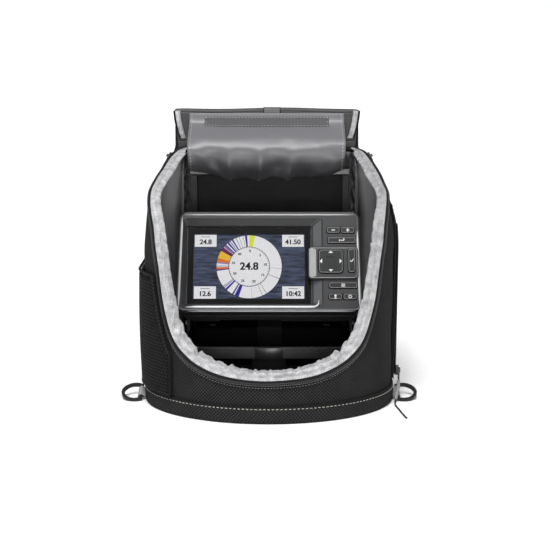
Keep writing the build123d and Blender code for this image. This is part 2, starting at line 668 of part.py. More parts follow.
def front_bezel():
    body = extrude(unit_outline(), -BEZEL_DEPTH)
    body = chamfer(body.faces().sort_by(Axis.Z)[-1].edges(), 2.0)
    body -= Pos(0, 0, -BEZEL_DEPTH) * extrude(unit_outline(3.0), BEZEL_DEPTH - 5.6)
    mouth = Pos(*WELL_CENTRE, 0.01) * Rectangle(*WELL_SIZE)
    floor = Pos(*GLASS_CENTRE, -WELL_DEPTH) * Rectangle(*GLASS_SIZE)
    body -= loft([fillet(floor.vertices(), 2.0), fillet(mouth.vertices(), 4.0)])
    frame = Pos(*GLASS_CENTRE, -BEZEL_DEPTH + 2) * extrude(
        Rectangle(GLASS_SIZE[0] + 8, GLASS_SIZE[1] + 8), BEZEL_DEPTH - 2 - WELL_DEPTH)
    frame = frame & extrude(unit_outline(3.0), -BEZEL_DEPTH)
    body += frame
    seat = Pos(*GLASS_CENTRE, -WELL_DEPTH - GLASS_THICK - 0.1) * extrude(
        Rectangle(GLASS_SIZE[0] + 3, GLASS_SIZE[1] + 3), GLASS_THICK + 0.1)
    window = Pos(*GLASS_CENTRE, -BEZEL_DEPTH) * extrude(Rectangle(GLASS_SIZE[0] - 2, GLASS_SIZE[1] - 2), 11)
    pod = Pos(*POD_CENTRE, -WELL_DEPTH + 0.05) * extrude(
        fillet(Rectangle(*POD_SIZE).vertices(), 4.0), WELL_DEPTH + POD_RISE)
    pod = fillet(pod.faces().sort_by(Axis.Z)[-1].edges(), 1.5)
    body = body - seat - window + pod
    for name in KEYS:
        gap = PAD_GAP if name == "key_arrow_pad" else KEY_GAP
        body -= key_place(name, -20) * extrude(key_cap(name, gap), 40)
    return DISPLAY_PLACE * body


def lens_glass():
    pane = fillet(Rectangle(GLASS_SIZE[0] + 2.6, GLASS_SIZE[1] + 2.6).vertices(), 2.0)
    shape = Pos(*GLASS_CENTRE, -WELL_DEPTH - GLASS_THICK - 0.05) * extrude(pane, GLASS_THICK)
    return DISPLAY_PLACE * shape


def lcd_panel():
    shape = Pos(*GLASS_CENTRE, -WELL_DEPTH - GLASS_THICK - 4.3) * Box(GLASS_SIZE[0] - 4, GLASS_SIZE[1] - 4, 5.0)
    return DISPLAY_PLACE * shape


def keypad_membrane():
    sheet = Pos(65.9, -2.5, KEY_BOTTOM - 1.6) * Box(37.6, 81.0, 1.2)
    return DISPLAY_PLACE * sheet


def main_board():
    board = Pos(0, -4.0, -22.0) * Box(130, 80, 1.6)
    chips = [
        Pos(-30, 6, -23.8) * Box(18, 18, 2.0), Pos(10, 12, -23.6) * Box(12, 9, 1.6),
        Pos(36, -8, -24.6) * Box(14, 14, 3.6), Pos(-8, -26, -24.0) * Box(22, 7, 2.4),
    ]
    for chip in chips:
        board += chip
    return DISPLAY_PLACE * board


def housing_gasket():
    ring = unit_outline(0.8) - unit_outline(2.4)
    return DISPLAY_PLACE * (Pos(0, 0, -BEZEL_DEPTH - 0.95) * extrude(ring, 0.9))


def rear_housing():
    top_n, rear_n = -BEZEL_DEPTH - GASKET_THICK, -UNIT_DEPTH
    shell = loft([Pos(0, 0, rear_n) * rear_outline(), Pos(0, 0, top_n) * unit_outline()])
    shell = chamfer(shell.faces().sort_by(Axis.Z)[0].edges(), 2.0)
    room = loft([
        Pos(0, 0, rear_n + HOUSING_WALL) * rear_outline(HOUSING_WALL),
        Pos(0, 0, top_n + 0.1) * unit_outline(HOUSING_WALL),
    ])
    shell -= room
    for u, v in HOUSING_SCREWS:
        shell += Pos(u, v, (rear_n + top_n) / 2) * Cylinder(4.0, top_n - rear_n - 2)
        shell -= Pos(u, v, rear_n) * Cylinder(1.6, 80)
        shell -= Pos(u, v, rear_n) * Cylinder(3.3, 5)
    for u, v in SOCKET_CENTRES:
        shell -= Pos(u, v, rear_n) * Cylinder(8.1, 12)
    shell -= Pos(-18.0, -50.0, -42.0) * Box(62, 4.0, 12)
    shell -= Pos(-18.0, 50.5, -22.0) * Box(62, 3.0, 8)
    return DISPLAY_PLACE * shell


def housing_screws():
    made = []
    for u, v in HOUSING_SCREWS:
        head = Pos(u, v, -UNIT_DEPTH + 1.2) * Cylinder(3.0, 2.2)
        shank = Pos(u, v, -UNIT_DEPTH + 14.0) * Cylinder(1.5, 25.0)
        drive = Pos(u, v, -UNIT_DEPTH + 0.4) * extrude(RegularPolygon(1.3, 6), 1.0, both=True)
        made.append(DISPLAY_PLACE * (head + shank - drive))
    return Compound(children=made)


def rear_sockets():
    made = []
    for u, v in SOCKET_CENTRES:
        n = -UNIT_DEPTH + 4.5
        shell = Cylinder(8.0, 9.0) - Pos(0, 0, -2.0) * Cylinder(6.4, 8.0)
        body = Pos(u, v, n) * shell
        for i in range(4):
            angle = math.radians(90 * i + 45)
            body += Pos(u + 3.0 * math.cos(angle), v + 3.0 * math.sin(angle), n) * Cylinder(0.6, 6.0)
        made.append(DISPLAY_PLACE * body)
    return Compound(children=made)


def key(name):
    """A key's cap, down to the membrane behind the bezel."""
    level = KEYS[name][4]
    cap = key_place(name, KEY_BOTTOM) * extrude(key_cap(name), level + KEY_RISE - KEY_BOTTOM)
    cap = chamfer(cap.faces().sort_by(Axis.Z)[-1].edges(), 0.5)
    if name == "key_arrow_pad":
        dish = Pos(*KEYS[name][:2], level + KEY_RISE) * Box(9.0, 9.0, 1.0)
        cap -= dish
    return DISPLAY_PLACE * cap


def arrow_pad_gimbal():
    """The small block under the arrow pad, which rocks one way while the pad rocks the other."""
    return DISPLAY_PLACE * (Pos(*KEYS["key_arrow_pad"][:2], KEY_BOTTOM - 0.55) * Box(4.0, 4.0, 0.5))


PARTS = {
    "base_boot": base_boot, "bag_front": bag_front, "bag_shell": bag_shell, "bag_lining": bag_lining,
    "base_board": base_board,
    "zip_tape": zip_tape_bag, "opening_facing": opening_facing, "back_pad": back_pad,
    "mesh_pocket": mesh_pocket, "side_pocket": side_pocket, "side_zip_tape": side_zip_tape,
    "side_zip_slider": side_zip_slider, "side_zip_bail": side_zip_bail, "pull_sleeve": pull_sleeve,
    "pull_cord": pull_cord, "lid_root": lid_root, "lid_top": lid_top, "lid_front": lid_front,
    "lid_pull_tab": lid_pull_tab, "rear_flap": rear_flap, "flap_hook_strip": flap_hook_strip,
    "main_zip_sliders": main_zip_sliders,
    "carrier_base": carrier_base, "front_rail": front_rail, "mount_shelf": mount_shelf,
    "tower_beams": tower_beams, "carrier_screws": carrier_screws, "battery_case": battery_case,
    "battery_lid": battery_lid, "battery_terminals": battery_terminals, "battery_strap": battery_strap,
    "mount_base": mount_base, "mount_yoke": mount_yoke, "swivel_bolt": swivel_bolt, "tilt_cradle": tilt_cradle,
    "tilt_pin": tilt_pin, "tilt_knob": tilt_knob,
    "front_bezel": front_bezel, "lens_glass": lens_glass, "lcd_panel": lcd_panel,
    "keypad_membrane": keypad_membrane, "main_board": main_board, "housing_gasket": housing_gasket,
    "rear_housing": rear_housing, "housing_screws": housing_screws, "rear_sockets": rear_sockets,
    "arrow_pad_gimbal": arrow_pad_gimbal,
}


def build():
    made = {name: maker() for name, maker in PARTS.items()}
    for side, word in ((-1, "left"), (1, "right")):
        made[f"carrier_side_{word}"] = carrier_side(side)
        made[f"strap_ring_{word}"] = strap_ring(side)
    made["ring_tabs"] = Compound(children=[ring_tab(-1), ring_tab(1)])
    for name in KEYS:
        made[name] = key(name)
    return made


os.makedirs("parts", exist_ok=True)
for node, shape in build().items():
    export_step(shape, f"parts/{node}.step")
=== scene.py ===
"""Looks for the portable fish finder: cloth, stitching, zips, moulded plastic and the lit screen.

Every size is in millimetres until a mesh is made, and in the row frame: +X to the keys, -Y out of the mouth.
"""

import math

import bmesh
import bpy
import numpy as np
from mathutils import Matrix, Vector, noise


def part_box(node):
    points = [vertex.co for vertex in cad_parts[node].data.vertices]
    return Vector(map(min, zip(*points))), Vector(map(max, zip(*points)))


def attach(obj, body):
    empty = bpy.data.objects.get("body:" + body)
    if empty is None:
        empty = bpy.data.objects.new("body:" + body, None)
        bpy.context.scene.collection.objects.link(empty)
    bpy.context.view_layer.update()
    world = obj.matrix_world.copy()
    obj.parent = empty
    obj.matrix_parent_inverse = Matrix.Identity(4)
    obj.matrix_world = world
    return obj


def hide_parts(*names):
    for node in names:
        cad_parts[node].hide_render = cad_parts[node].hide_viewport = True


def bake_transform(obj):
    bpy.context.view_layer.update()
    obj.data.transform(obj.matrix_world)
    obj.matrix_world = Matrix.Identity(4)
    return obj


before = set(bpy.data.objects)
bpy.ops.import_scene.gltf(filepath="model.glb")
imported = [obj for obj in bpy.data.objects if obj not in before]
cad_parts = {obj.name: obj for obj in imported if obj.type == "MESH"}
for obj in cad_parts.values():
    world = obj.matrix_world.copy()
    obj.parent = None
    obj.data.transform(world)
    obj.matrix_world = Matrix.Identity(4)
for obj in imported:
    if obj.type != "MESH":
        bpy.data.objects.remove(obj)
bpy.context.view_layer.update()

MM = 0.001
TURN = 2 * math.pi

# The bag's outline, as in the model: each layer is set by how far it lies inside the boot.
BOOT_HALF, FRONT_Y, FRONT_DEPTH, BACK_Y, REAR_R = 118.5, -28.0, 80.0, 100.0, 32.0
TOP_Z, SHOULDER_W, SHOULDER_H = 232.0, 34.0, 90.0
MOUTH = [
    (-112.0, 37.0), (-104.0, 40.5), (-96.0, 47.5), (-88.0, 57.0), (-80.0, 72.0), (-74.0, 95.0),
    (-69.0, 122.0), (-65.0, 150.0), (-58.0, 176.0), (-38.0, 197.0), (0.0, 210.0), (50.0, 221.5),
    (94.0, 230.5),
]
SHELL_OUT, SHELL_IN, LINING_OUT, LINING_IN = 2.6, 6.2, 6.5, 7.3
BAG_DENTS = (1.1, 36.0, 3.0)

# The display's own axes: u across, v up the face, n out of it.
FACE_Z, FACE_LEAN = 127.4, math.radians(27.0)
SCREEN_CENTRE, SCREEN_SIZE = (-19.5, -3.4), (108.0, 65.0)
GLASS_CENTRE, GLASS_SIZE = (-19.5, -2.5), (121.0, 79.0)
SCREEN_N = -8.2
DIAL = (-19.5, -3.4)
DIAL_OUTER, DIAL_INNER = 31.6, 19.8
KEY_TOP, POD_KEY_TOP = 1.2, 3.7
KEY_CORNER_MAX = 3.4
KEY_SHAPES = {
    "key_zoom_out": (62.0, 30.8, 13.2, 6.2), "key_zoom_in": (76.0, 30.8, 13.2, 6.2),
    "key_back": (70.0, 20.6, 27.5, 6.2), "key_arrow_pad": (59.1, -1.2, 23.4, 23.6),
    "key_select": (79.2, -0.6, 7.2, 23.6), "key_menu": (70.8, -24.4, 27.5, 6.2),
    "key_mark": (63.2, -35.5, 13.2, 6.2), "key_home": (77.2, -35.5, 13.2, 6.2),
}


# ------------------------------------------------------------------ camera and cord
def new_object(name, data):
    """An object in the scene that shows the given data."""
    made = bpy.data.objects.new(name, data)
    bpy.context.scene.collection.objects.link(made)
    return made


def make_camera():
    """The view that every still is taken from."""
    data = bpy.data.cameras.new("camera")
    data.lens, data.sensor_width = 70.8, 36.0
    camera = new_object("camera", data)
    camera.location = (0.007, -1.02705, 0.3304)
    camera.rotation_euler = (math.radians(78.0), 0.0, 0.0)
    bpy.context.scene.camera = camera


def nurbs_tube(name, route, radius, material):
    """A smooth round cord whose control points are the route, in millimetres."""
    curve = bpy.data.curves.new(name, "CURVE")
    curve.dimensions = "3D"
    spline = curve.splines.new("NURBS")
    spline.points.add(len(route) - 1)
    for point, place in zip(spline.points, route):
        point.co = (*(MM * c for c in place), 1.0)
    spline.order_u = 3
    spline.use_endpoint_u = True
    spline.resolution_u = 16
    curve.bevel_depth = radius * MM
    curve.bevel_resolution = 5
    curve.use_fill_caps = True
    curve.materials.append(material)
    return new_object(name, curve)


# ------------------------------------------------------------------ materials
def node(tree, kind, inputs=None, **settings):
    """One shader node. An input is a value, or a socket to link."""
    made = tree.nodes.new(kind)
    for key, value in settings.items():
        setattr(made, key, value)
    for key, value in (inputs or {}).items():
        if isinstance(value, bpy.types.NodeSocket):
            tree.links.new(value, made.inputs[key])
        else:
            made.inputs[key].default_value = value
    return made


def math_node(tree, operation, a, b=0.0):
    """The output of one sum on numbers or sockets."""
    return node(tree, "ShaderNodeMath", {0: a, 1: b}, operation=operation).outputs[0]


def new_material(name, rough, metal=0.0, **sockets):
    """A material with its shader, whose sockets are named with underscores for spaces."""
    material = bpy.data.materials.new(name)
    material.use_nodes = True
    shader = material.node_tree.nodes["Principled BSDF"]
    shader.inputs["Roughness"].default_value = rough
    shader.inputs["Metallic"].default_value = metal
    for key, value in sockets.items():
        shader.inputs[key.replace("_", " ")].default_value = value
    return material, material.node_tree, shader


def shades(tree, factor, colour, spread):
    """Colour between a darker and a lighter shade, by factor."""
    dark = tuple(c * (1 - spread) for c in colour) + (1.0,)
    light = tuple(min(1.0, c * (1 + spread)) for c in colour) + (1.0,)
    return node(tree, "ShaderNodeMix", {"Factor": factor, 6: dark, 7: light}, data_type="RGBA").outputs[2]


def noise_of(tree, scale, detail=3.0):
    """Soft noise fixed to the object's own space."""
    place = node(tree, "ShaderNodeTexCoord").outputs["Object"]
    facts = {"Vector": place, "Scale": scale, "Detail": detail}
    return node(tree, "ShaderNodeTexNoise", facts).outputs["Fac"]


def fabric(name, colour, pitch, rough=0.85, depth=0.5, spread=0.45, sheen=0.02, coords="cloth", gloss=0.15,
           blotch=60.0, worn=0.3):
    """Woven cloth: crossing threads of the given pitch in millimetres, mottled and slightly fuzzy.
    blotch is how fine the mottling is, and worn its share beside the weave."""
    material, tree, shader = new_material(name, rough, Sheen_Weight=sheen, Specular_IOR_Level=gloss)
    if coords == "cloth":
        vector = node(tree, "ShaderNodeAttribute", attribute_name="cloth").outputs["Vector"]
    else:
        place = node(tree, "ShaderNodeTexCoord").outputs["Object"]
        vector = node(tree, "ShaderNodeVectorMath", {0: place, "Scale": 1000.0}, operation="SCALE").outputs[0]
    split = node(tree, "ShaderNodeSeparateXYZ", {0: vector})
    across, along = split.outputs[0], split.outputs[1] if coords == "cloth" else split.outputs[2]
    warp = math_node(tree, "SINE", math_node(tree, "MULTIPLY", across, TURN / pitch))
    weft = math_node(tree, "SINE", math_node(tree, "MULTIPLY", along, TURN / pitch))
    weave = math_node(tree, "MULTIPLY_ADD", math_node(tree, "MULTIPLY", warp, weft), 0.75)
    weave.node.use_clamp = True
    weave.node.inputs[2].default_value = 0.5
    mottle = noise_of(tree, blotch, 5.0)
    fuzz = noise_of(tree, 900.0, 2.0)
    mixed = math_node(tree, "MULTIPLY", weave, 1 - worn)
    mixed = math_node(tree, "ADD", mixed, math_node(tree, "MULTIPLY", mottle, worn))
    tree.links.new(shades(tree, mixed, colour, spread), shader.inputs["Base Color"])
    height = math_node(tree, "ADD", weave, math_node(tree, "MULTIPLY", fuzz, 0.5))
    bump = node(tree, "ShaderNodeBump", {"Strength": depth, "Distance": 0.0004, "Height": height})
    tree.links.new(bump.outputs[0], shader.inputs["Normal"])
    return material


def plastic(name, colour, rough=0.45, grain=1400.0, depth=0.12, spread=0.22, metal=0.0, gloss=0.3):
    """Moulded plastic, rubber or coated metal: fine grain, faint cloudiness and uneven gloss."""
    material, tree, shader = new_material(name, rough, metal, Specular_IOR_Level=gloss)
    cloud = noise_of(tree, 28.0, 4.0)
    speckle = noise_of(tree, grain, 2.0)
    tree.links.new(shades(tree, cloud, colour, spread), shader.inputs["Base Color"])
    glossy, dull = max(0.05, rough - 0.08), min(1.0, rough + 0.1)
    polish = node(tree, "ShaderNodeMapRange", {0: cloud, 3: glossy, 4: dull})
    tree.links.new(polish.outputs[0], shader.inputs["Roughness"])
    bump = node(tree, "ShaderNodeBump", {"Strength": depth, "Distance": 0.0002, "Height": speckle})
    tree.links.new(bump.outputs[0], shader.inputs["Normal"])
    return material


def paint_shade_ramp(material, axis, start, end, share):
    """Paints shade onto a material: darkens it between two places along an axis, given in millimetres."""
    tree = material.node_tree
    shader = tree.nodes["Principled BSDF"]
    plain = shader.inputs["Base Color"].links[0].from_socket
    place = node(tree, "ShaderNodeSeparateXYZ", {0: node(tree, "ShaderNodeTexCoord").outputs["Object"]})
    span = {0: place.outputs[axis], 1: start * MM, 2: end * MM, 3: 1.0, 4: share}
    level = node(tree, "ShaderNodeMapRange", span)
    painted_shade = node(tree, "ShaderNodeMix", {"Factor": 1.0, 6: plain, 7: level.outputs[0]}, data_type="RGBA",
                blend_type="MULTIPLY")
    tree.links.new(painted_shade.outputs[2], shader.inputs["Base Color"])


def lit(name, colour, strength=0.85, spread=0.05, stretch=None):
    """One colour of the lit screen. With stretch, the picture's rippled water."""
    material, tree, shader = new_material(name, 0.35)
    place = node(tree, "ShaderNodeTexCoord").outputs["Object"]
    scaled = node(tree, "ShaderNodeMapping", {"Vector": place, "Scale": stretch or (600.0, 600.0, 600.0)})
    ripple = node(tree, "ShaderNodeTexNoise", {"Vector": scaled.outputs[0], "Scale": 1.0, "Detail": 4.0})
    wave = node(tree, "ShaderNodeMapRange", {0: ripple.outputs["Fac"], 1: 0.32, 2: 0.68}).outputs[0]
    picture = shades(tree, wave, colour, spread)
    tree.links.new(picture, shader.inputs["Emission Color"])
    shader.inputs["Base Color"].default_value = (0.005, 0.005, 0.006, 1.0)
    shader.inputs["Specular IOR Level"].default_value = 0.1
    shader.inputs["Emission Strength"].default_value = strength
    return material


def glass(name):
    """A nearly clear pane with faint smudges."""
    material, tree, shader = new_material(name, 0.06, Alpha=0.02, Specular_IOR_Level=0.03)
    smudge = noise_of(tree, 60.0, 3.0)
    tree.links.new(shades(tree, smudge, (0.02, 0.02, 0.022), 0.3), shader.inputs["Base Color"])
    return material


CLOTH = fabric("bag_cloth", (0.0185, 0.0185, 0.019), 3.3, depth=1.0, spread=1.0, sheen=0.0, gloss=0.06)
BAND = fabric("boot_cloth", (0.0185, 0.0185, 0.019), 3.3, depth=1.0, spread=1.0, sheen=0.0, gloss=0.06)
LINING = fabric("lining_cloth", (0.037, 0.0368, 0.0385), 0.5, rough=0.5, depth=0.15, spread=0.15, gloss=0.4)
# A lit copy of the lining cloth, far lighter than the lid's lining: painted light on the inner walls, which
# lie in shade.
LIT_WALL_LINING = fabric("lit_wall_lining_cloth", (0.45, 0.447, 0.46), 0.5, rough=0.5, depth=0.15, spread=0.2,
                     gloss=0.4)
INNER = fabric("inner_cloth", (0.009, 0.009, 0.0095), 0.7, rough=0.6, depth=0.3, gloss=0.25)
FACING = fabric("facing_cloth", (0.42, 0.42, 0.43), 2.6, rough=0.7, depth=0.7, spread=0.98, sheen=0.1,
                blotch=170.0, worn=0.8)
FLAP = fabric("flap_cloth", (0.134, 0.134, 0.143), 0.45, rough=0.36, depth=0.10, spread=0.15, gloss=0.5)
PATCH = fabric("patch_cloth", (0.092, 0.092, 0.097), 0.7, rough=0.6, depth=0.5, spread=0.2)
TAPE = fabric("zip_tape_cloth", (0.007, 0.007, 0.0075), 0.8, rough=0.7)
NET = fabric("net_thread", (0.014, 0.014, 0.0145), 0.9, rough=0.6, spread=0.8, gloss=0.15)
DARK_CLOTH = fabric("dark_cloth", (0.007, 0.007, 0.0075), 0.9)
WEBBING = fabric("webbing", (0.012, 0.012, 0.0125), 1.3, depth=0.8, coords="object")
LOOP = fabric("loop_webbing", (0.16, 0.16, 0.165), 1.0, depth=0.5)
TAB = fabric("tab_webbing", (0.28, 0.28, 0.285), 1.0, depth=0.6, coords="object")
SLEEVE = fabric("sleeve_braid", (0.30, 0.30, 0.305), 0.8, depth=0.8, coords="object")
CORD = fabric("cord_braid", (0.025, 0.025, 0.026), 0.7, depth=0.6, coords="object")
THREAD = fabric("light_thread", (0.46, 0.46, 0.41), 0.4, coords="object")
DARK_THREAD = fabric("grey_thread", (0.26, 0.26, 0.265), 0.4, coords="object")
# The zip's teeth are pale as painted highlight: the dark coil's turns catching the light.
TEETH_HIGHLIGHT = plastic("zip_teeth_highlight", (0.20, 0.20, 0.205), 0.3)
COIL = plastic("zip_coil", (0.018, 0.018, 0.019), 0.32)
CARRIER = plastic("carrier_plastic", (0.013, 0.013, 0.0135), 0.28, gloss=0.6)
HOUSING = plastic("housing_plastic", (0.050, 0.0505, 0.052), 0.38, gloss=0.5)
BEZEL = plastic("bezel_plastic", (0.027, 0.0275, 0.029), 0.32, gloss=0.4)
KEY = plastic("key_rubber", (0.014, 0.0145, 0.015), 0.34)
# Pale lines along the bezel's edges: painted highlights, standing in for the reflections of its bevels.
PALE_HIGHLIGHT = plastic("bezel_painted_highlight", (0.52, 0.525, 0.53), 0.25, depth=0.05, gloss=0.6)
# Pale rims of the keys and the pod, and the pod's bevel: painted highlights on their edges.
RIM_HIGHLIGHT = plastic("key_rim_painted_highlight", (0.27, 0.273, 0.28), 0.3, depth=0.05)
# Lighter than the bezel plastic as painted highlight, for the well's sloping sides and the face's raised
# edge.
BEVEL_HIGHLIGHT = plastic("well_side_painted_highlight", (0.085, 0.087, 0.09), 0.3, depth=0.05)
MARK = plastic("key_mark_paint", (0.60, 0.60, 0.59), 0.5, depth=0.05)
MASK = plastic("lens_mask", (0.003, 0.003, 0.003), 0.3, depth=0.02, gloss=0.1)
RING = plastic("ring_plastic", (0.012, 0.012, 0.013), 0.3)
METAL = plastic("black_zip_metal", (0.04, 0.04, 0.04), 0.3, metal=0.7)
STEEL = plastic("screw_steel", (0.30, 0.30, 0.31), 0.35, metal=0.9)
BOARD_GREEN = plastic("solder_mask", (0.01, 0.07, 0.03), 0.35)
BATTERY = plastic("battery_plastic", (0.004, 0.004, 0.0042), 0.7, gloss=0.05)
# The carrier sides' plastic, lighter than the carrier plastic as painted light on the lattice's lit edges.
LIT_LATTICE = plastic("lattice_lit_plastic", (0.055, 0.055, 0.056), 0.3, gloss=0.6)
FOAM = plastic("seal_foam", (0.008, 0.008, 0.008), 0.9, depth=0.5)
GLASS = glass("lens")
# Painted shade: the flap's colour darkens towards its lower end, where it turns under into the bag.
paint_shade_ramp(FLAP, 2, 232.0, 207.0, 0.30)
# Painted shade: the lit wall lining goes near black over the last few millimetres before the back wall.
paint_shade_ramp(LIT_WALL_LINING, 1, 88.5, 92.0, 0.05)


# ------------------------------------------------------------------ mesh helpers
def add_mesh(name, verts, faces, materials, body, slot=None, replaces=(), cloth=None, sides=None,
             smooth=True):
    """One closed piece, given in millimetres, that rides on a body."""
    mesh = bpy.data.meshes.new(name)
    mesh.from_pydata((np.asarray(verts, float) * MM).tolist(), [], faces)
    for material in materials:
        mesh.materials.append(material)
    if sides is not None:
        mesh.polygons.foreach_set("material_index", sides)
    if cloth is not None:
        layer = mesh.attributes.new("cloth", "FLOAT_VECTOR", "POINT")
        layer.data.foreach_set("vector", np.asarray(cloth, np.float32).ravel())
    edit = bmesh.new()
    edit.from_mesh(mesh)
    bmesh.ops.recalc_face_normals(edit, faces=edit.faces)
    edit.to_mesh(mesh)
    edit.free()
    mesh.polygons.foreach_set("use_smooth", [smooth] * len(mesh.polygons))
    piece = new_object(name, mesh)
    if replaces:
        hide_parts(*replaces)
    if body:
        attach(piece, body)
    return piece


def cloth_coords(grid):
    """Distances along a grid's rows and columns, for the weave."""
    along = np.linalg.norm(np.diff(grid, axis=1), axis=2).mean(axis=0)
    up = np.linalg.norm(np.diff(grid, axis=0), axis=2)
    u = np.tile(np.concatenate([[0], np.cumsum(along)]), (len(grid), 1))
    v = np.vstack([np.zeros(len(grid[0])), np.cumsum(up, axis=0)])
    return np.stack([u, v, np.zeros_like(u)], axis=2)


def slab(name, face, back, materials, body, wrap=False, **facts):
    """A closed sheet between two grids of points. The second material is on the back."""
    rows, cols = face.shape[:2]
    offset = rows * cols
    faces, sides = [], []
    back_side = len(materials) - 1
    for r in range(rows - 1):
        for c in range(cols if wrap else cols - 1):
            d = (c + 1) % cols
            a, b, e, f = r * cols + c, r * cols + d, (r + 1) * cols + d, (r + 1) * cols + c
            faces += [(a, b, e, f), (offset + f, offset + e, offset + b, offset + a)]
            sides += [0, back_side]
    for c in range(cols if wrap else cols - 1):
        d = (c + 1) % cols
        top = (rows - 1) * cols
        faces += [(d, c, offset + c, offset + d), (top + c, top + d, offset + top + d, offset + top + c)]
        sides += [0, 0]
    if not wrap:
        for r in range(rows - 1):
            a, b = r * cols, (r + 1) * cols
            faces.append((a, b, offset + b, offset + a))
            a, b = a + cols - 1, b + cols - 1
            faces.append((b, a, offset + a, offset + b))
            sides += [0, 0]
    coords = cloth_coords(face).reshape(-1, 3)
    verts = np.concatenate([face.reshape(-1, 3), back.reshape(-1, 3)])
    return add_mesh(name, verts, faces, materials, body, cloth=np.concatenate([coords, coords]),
                    sides=sides, **facts)


def loft(name, sections, materials, body, closed=False, **facts):
    """A solid through closed loops of points, capped at its ends unless the path is closed."""
    count, size = sections.shape[:2]
    faces = []
    for i in range(count if closed else count - 1):
        j = (i + 1) % count
        for k in range(size):
            m = (k + 1) % size
            faces.append((i * size + k, i * size + m, j * size + m, j * size + k))
    if not closed:
        faces += [tuple(range(size))[::-1], tuple(range((count - 1) * size, count * size))]
    coords = cloth_coords(sections)[:, :, [1, 0, 2]]
    return add_mesh(name, sections.reshape(-1, 3), faces, materials, body,
                    cloth=coords.reshape(-1, 3), **facts)


def band_faces(count, base=0):
    """The faces between two closed loops of count points, one stored straight after the other."""
    after = [(k + 1) % count for k in range(count)]
    return [(base + k, base + m, base + count + m, base + count + k) for k, m in enumerate(after)]


def unit(vectors):
    """The same directions at length one."""
    return vectors / np.maximum(np.linalg.norm(vectors, axis=-1, keepdims=True), 1e-9)


def run_along(points):
    """The distance of each point along its line."""
    return np.concatenate([[0], np.cumsum(np.linalg.norm(np.diff(points, axis=0), axis=1))])


def spaced(points, step, closed=False):
    """Evenly spaced points along a line, with the distance of each."""
    if closed:
        points = np.vstack([points, points[:1]])
    run = run_along(points)
    count = max(2, int(run[-1] / step))
    at = np.linspace(0, run[-1], count, endpoint=not closed)
    return np.column_stack([np.interp(at, run, points[:, k]) for k in range(3)]), at


def tube_sections(points, radius, sides=8):
    """Round sections across a line. radius is one number or one for each point."""
    ahead = unit(np.gradient(points, axis=0))
    guide = np.where(np.abs(ahead[:, 2:3]) > 0.9, np.array([[1.0, 0, 0]]), np.array([[0, 0, 1.0]]))
    side = unit(np.cross(ahead, guide))
    up = np.cross(side, ahead)
    angle = np.linspace(0, TURN, sides, endpoint=False)
    ring = side[:, None] * np.cos(angle)[None, :, None] + up[:, None] * np.sin(angle)[None, :, None]
    reach = np.broadcast_to(np.asarray(radius, float), (len(points),))
    return points[:, None] + ring * reach[:, None, None]


def piping(name, points, radius, material, body, closed=False, **facts):
    """A round cord along a line."""
    return loft(name, tube_sections(points, radius), [material], body, closed=closed, **facts)


def coil(name, points, radius, body, slot, replaces=()):
    """A zip's moulded coil: a cord whose thickness pulses at every turn."""
    line, at = spaced(points, 0.42)
    sections = tube_sections(line, radius * (1 + 0.28 * np.cos(TURN * at / 1.7)), 8)
    return loft(name, sections, [COIL], body, slot=slot, replaces=replaces)


def stitches(name, lines, material, body, pitch=3.4, length=2.1, radius=0.24, slot=None):
    """Rows of short sewn stitches, each a little pointed bead lying along its line."""
    verts, faces = [], []
    for line in lines:
        places, _ = spaced(np.asarray(line, float), pitch)
        ahead = unit(np.gradient(places, axis=0))
        for place, way in zip(places, ahead):
            side = unit(np.cross(way, (0.3, 0.2, 1.0)))
            up = np.cross(way, side)
            base = len(verts)
            verts.append(place - way * length / 2)
            for share in (-0.28, 0.28):
                for k in range(5):
                    turn = TURN * k / 5
                    spoke = side * math.cos(turn) + up * math.sin(turn)
                    verts.append(place + way * length * share + radius * spoke)
            verts.append(place + way * length / 2)
            for a, b, c, d in band_faces(5, base + 1):
                faces += [(base, b, a), (base + 11, d, c), (a, b, c, d)]
    return add_mesh(name, verts, faces, [material], body, slot=slot)


def dents(points, amount, size, seed):
    """The points pushed in and out from the bag's middle, as cloth dents."""
    moved = np.array(points, float)
    for p in moved.reshape(-1, 3):
        push = amount * noise.noise(Vector(p) / size + Vector((seed, 0, 0)))
        away = Vector((p[0], p[1] - 5.0, 0.0)).normalized()
        p[0] += push * away.x
        p[1] += push * away.y
    return moved


# ------------------------------------------------------------------ the bag's surface
def smooth_line(points, count=240):
    """A smooth line through a few points, with the given number of samples."""
    points = np.asarray(points, float)
    padded = np.vstack([2 * points[0] - points[1], points, 2 * points[-1] - points[-2]])
    spans = len(points) - 1
    at = np.linspace(0, spans, count)
    which = np.minimum(at.astype(int), spans - 1)
    t = (at - which)[:, None]
    a, b, c, d = (padded[which + k] for k in range(4))
    return 0.5 * (2 * b + (c - a) * t + (2 * a - 5 * b + 4 * c - d) * t**2 + (3 * b - a - 3 * c + d) * t**3)


MOUTH_LINE = smooth_line(MOUTH)


def mouth_z(y):
    """The height of the mouth's edge at a distance back."""
    return np.interp(y, MOUTH_LINE[:, 0], MOUTH_LINE[:, 1])


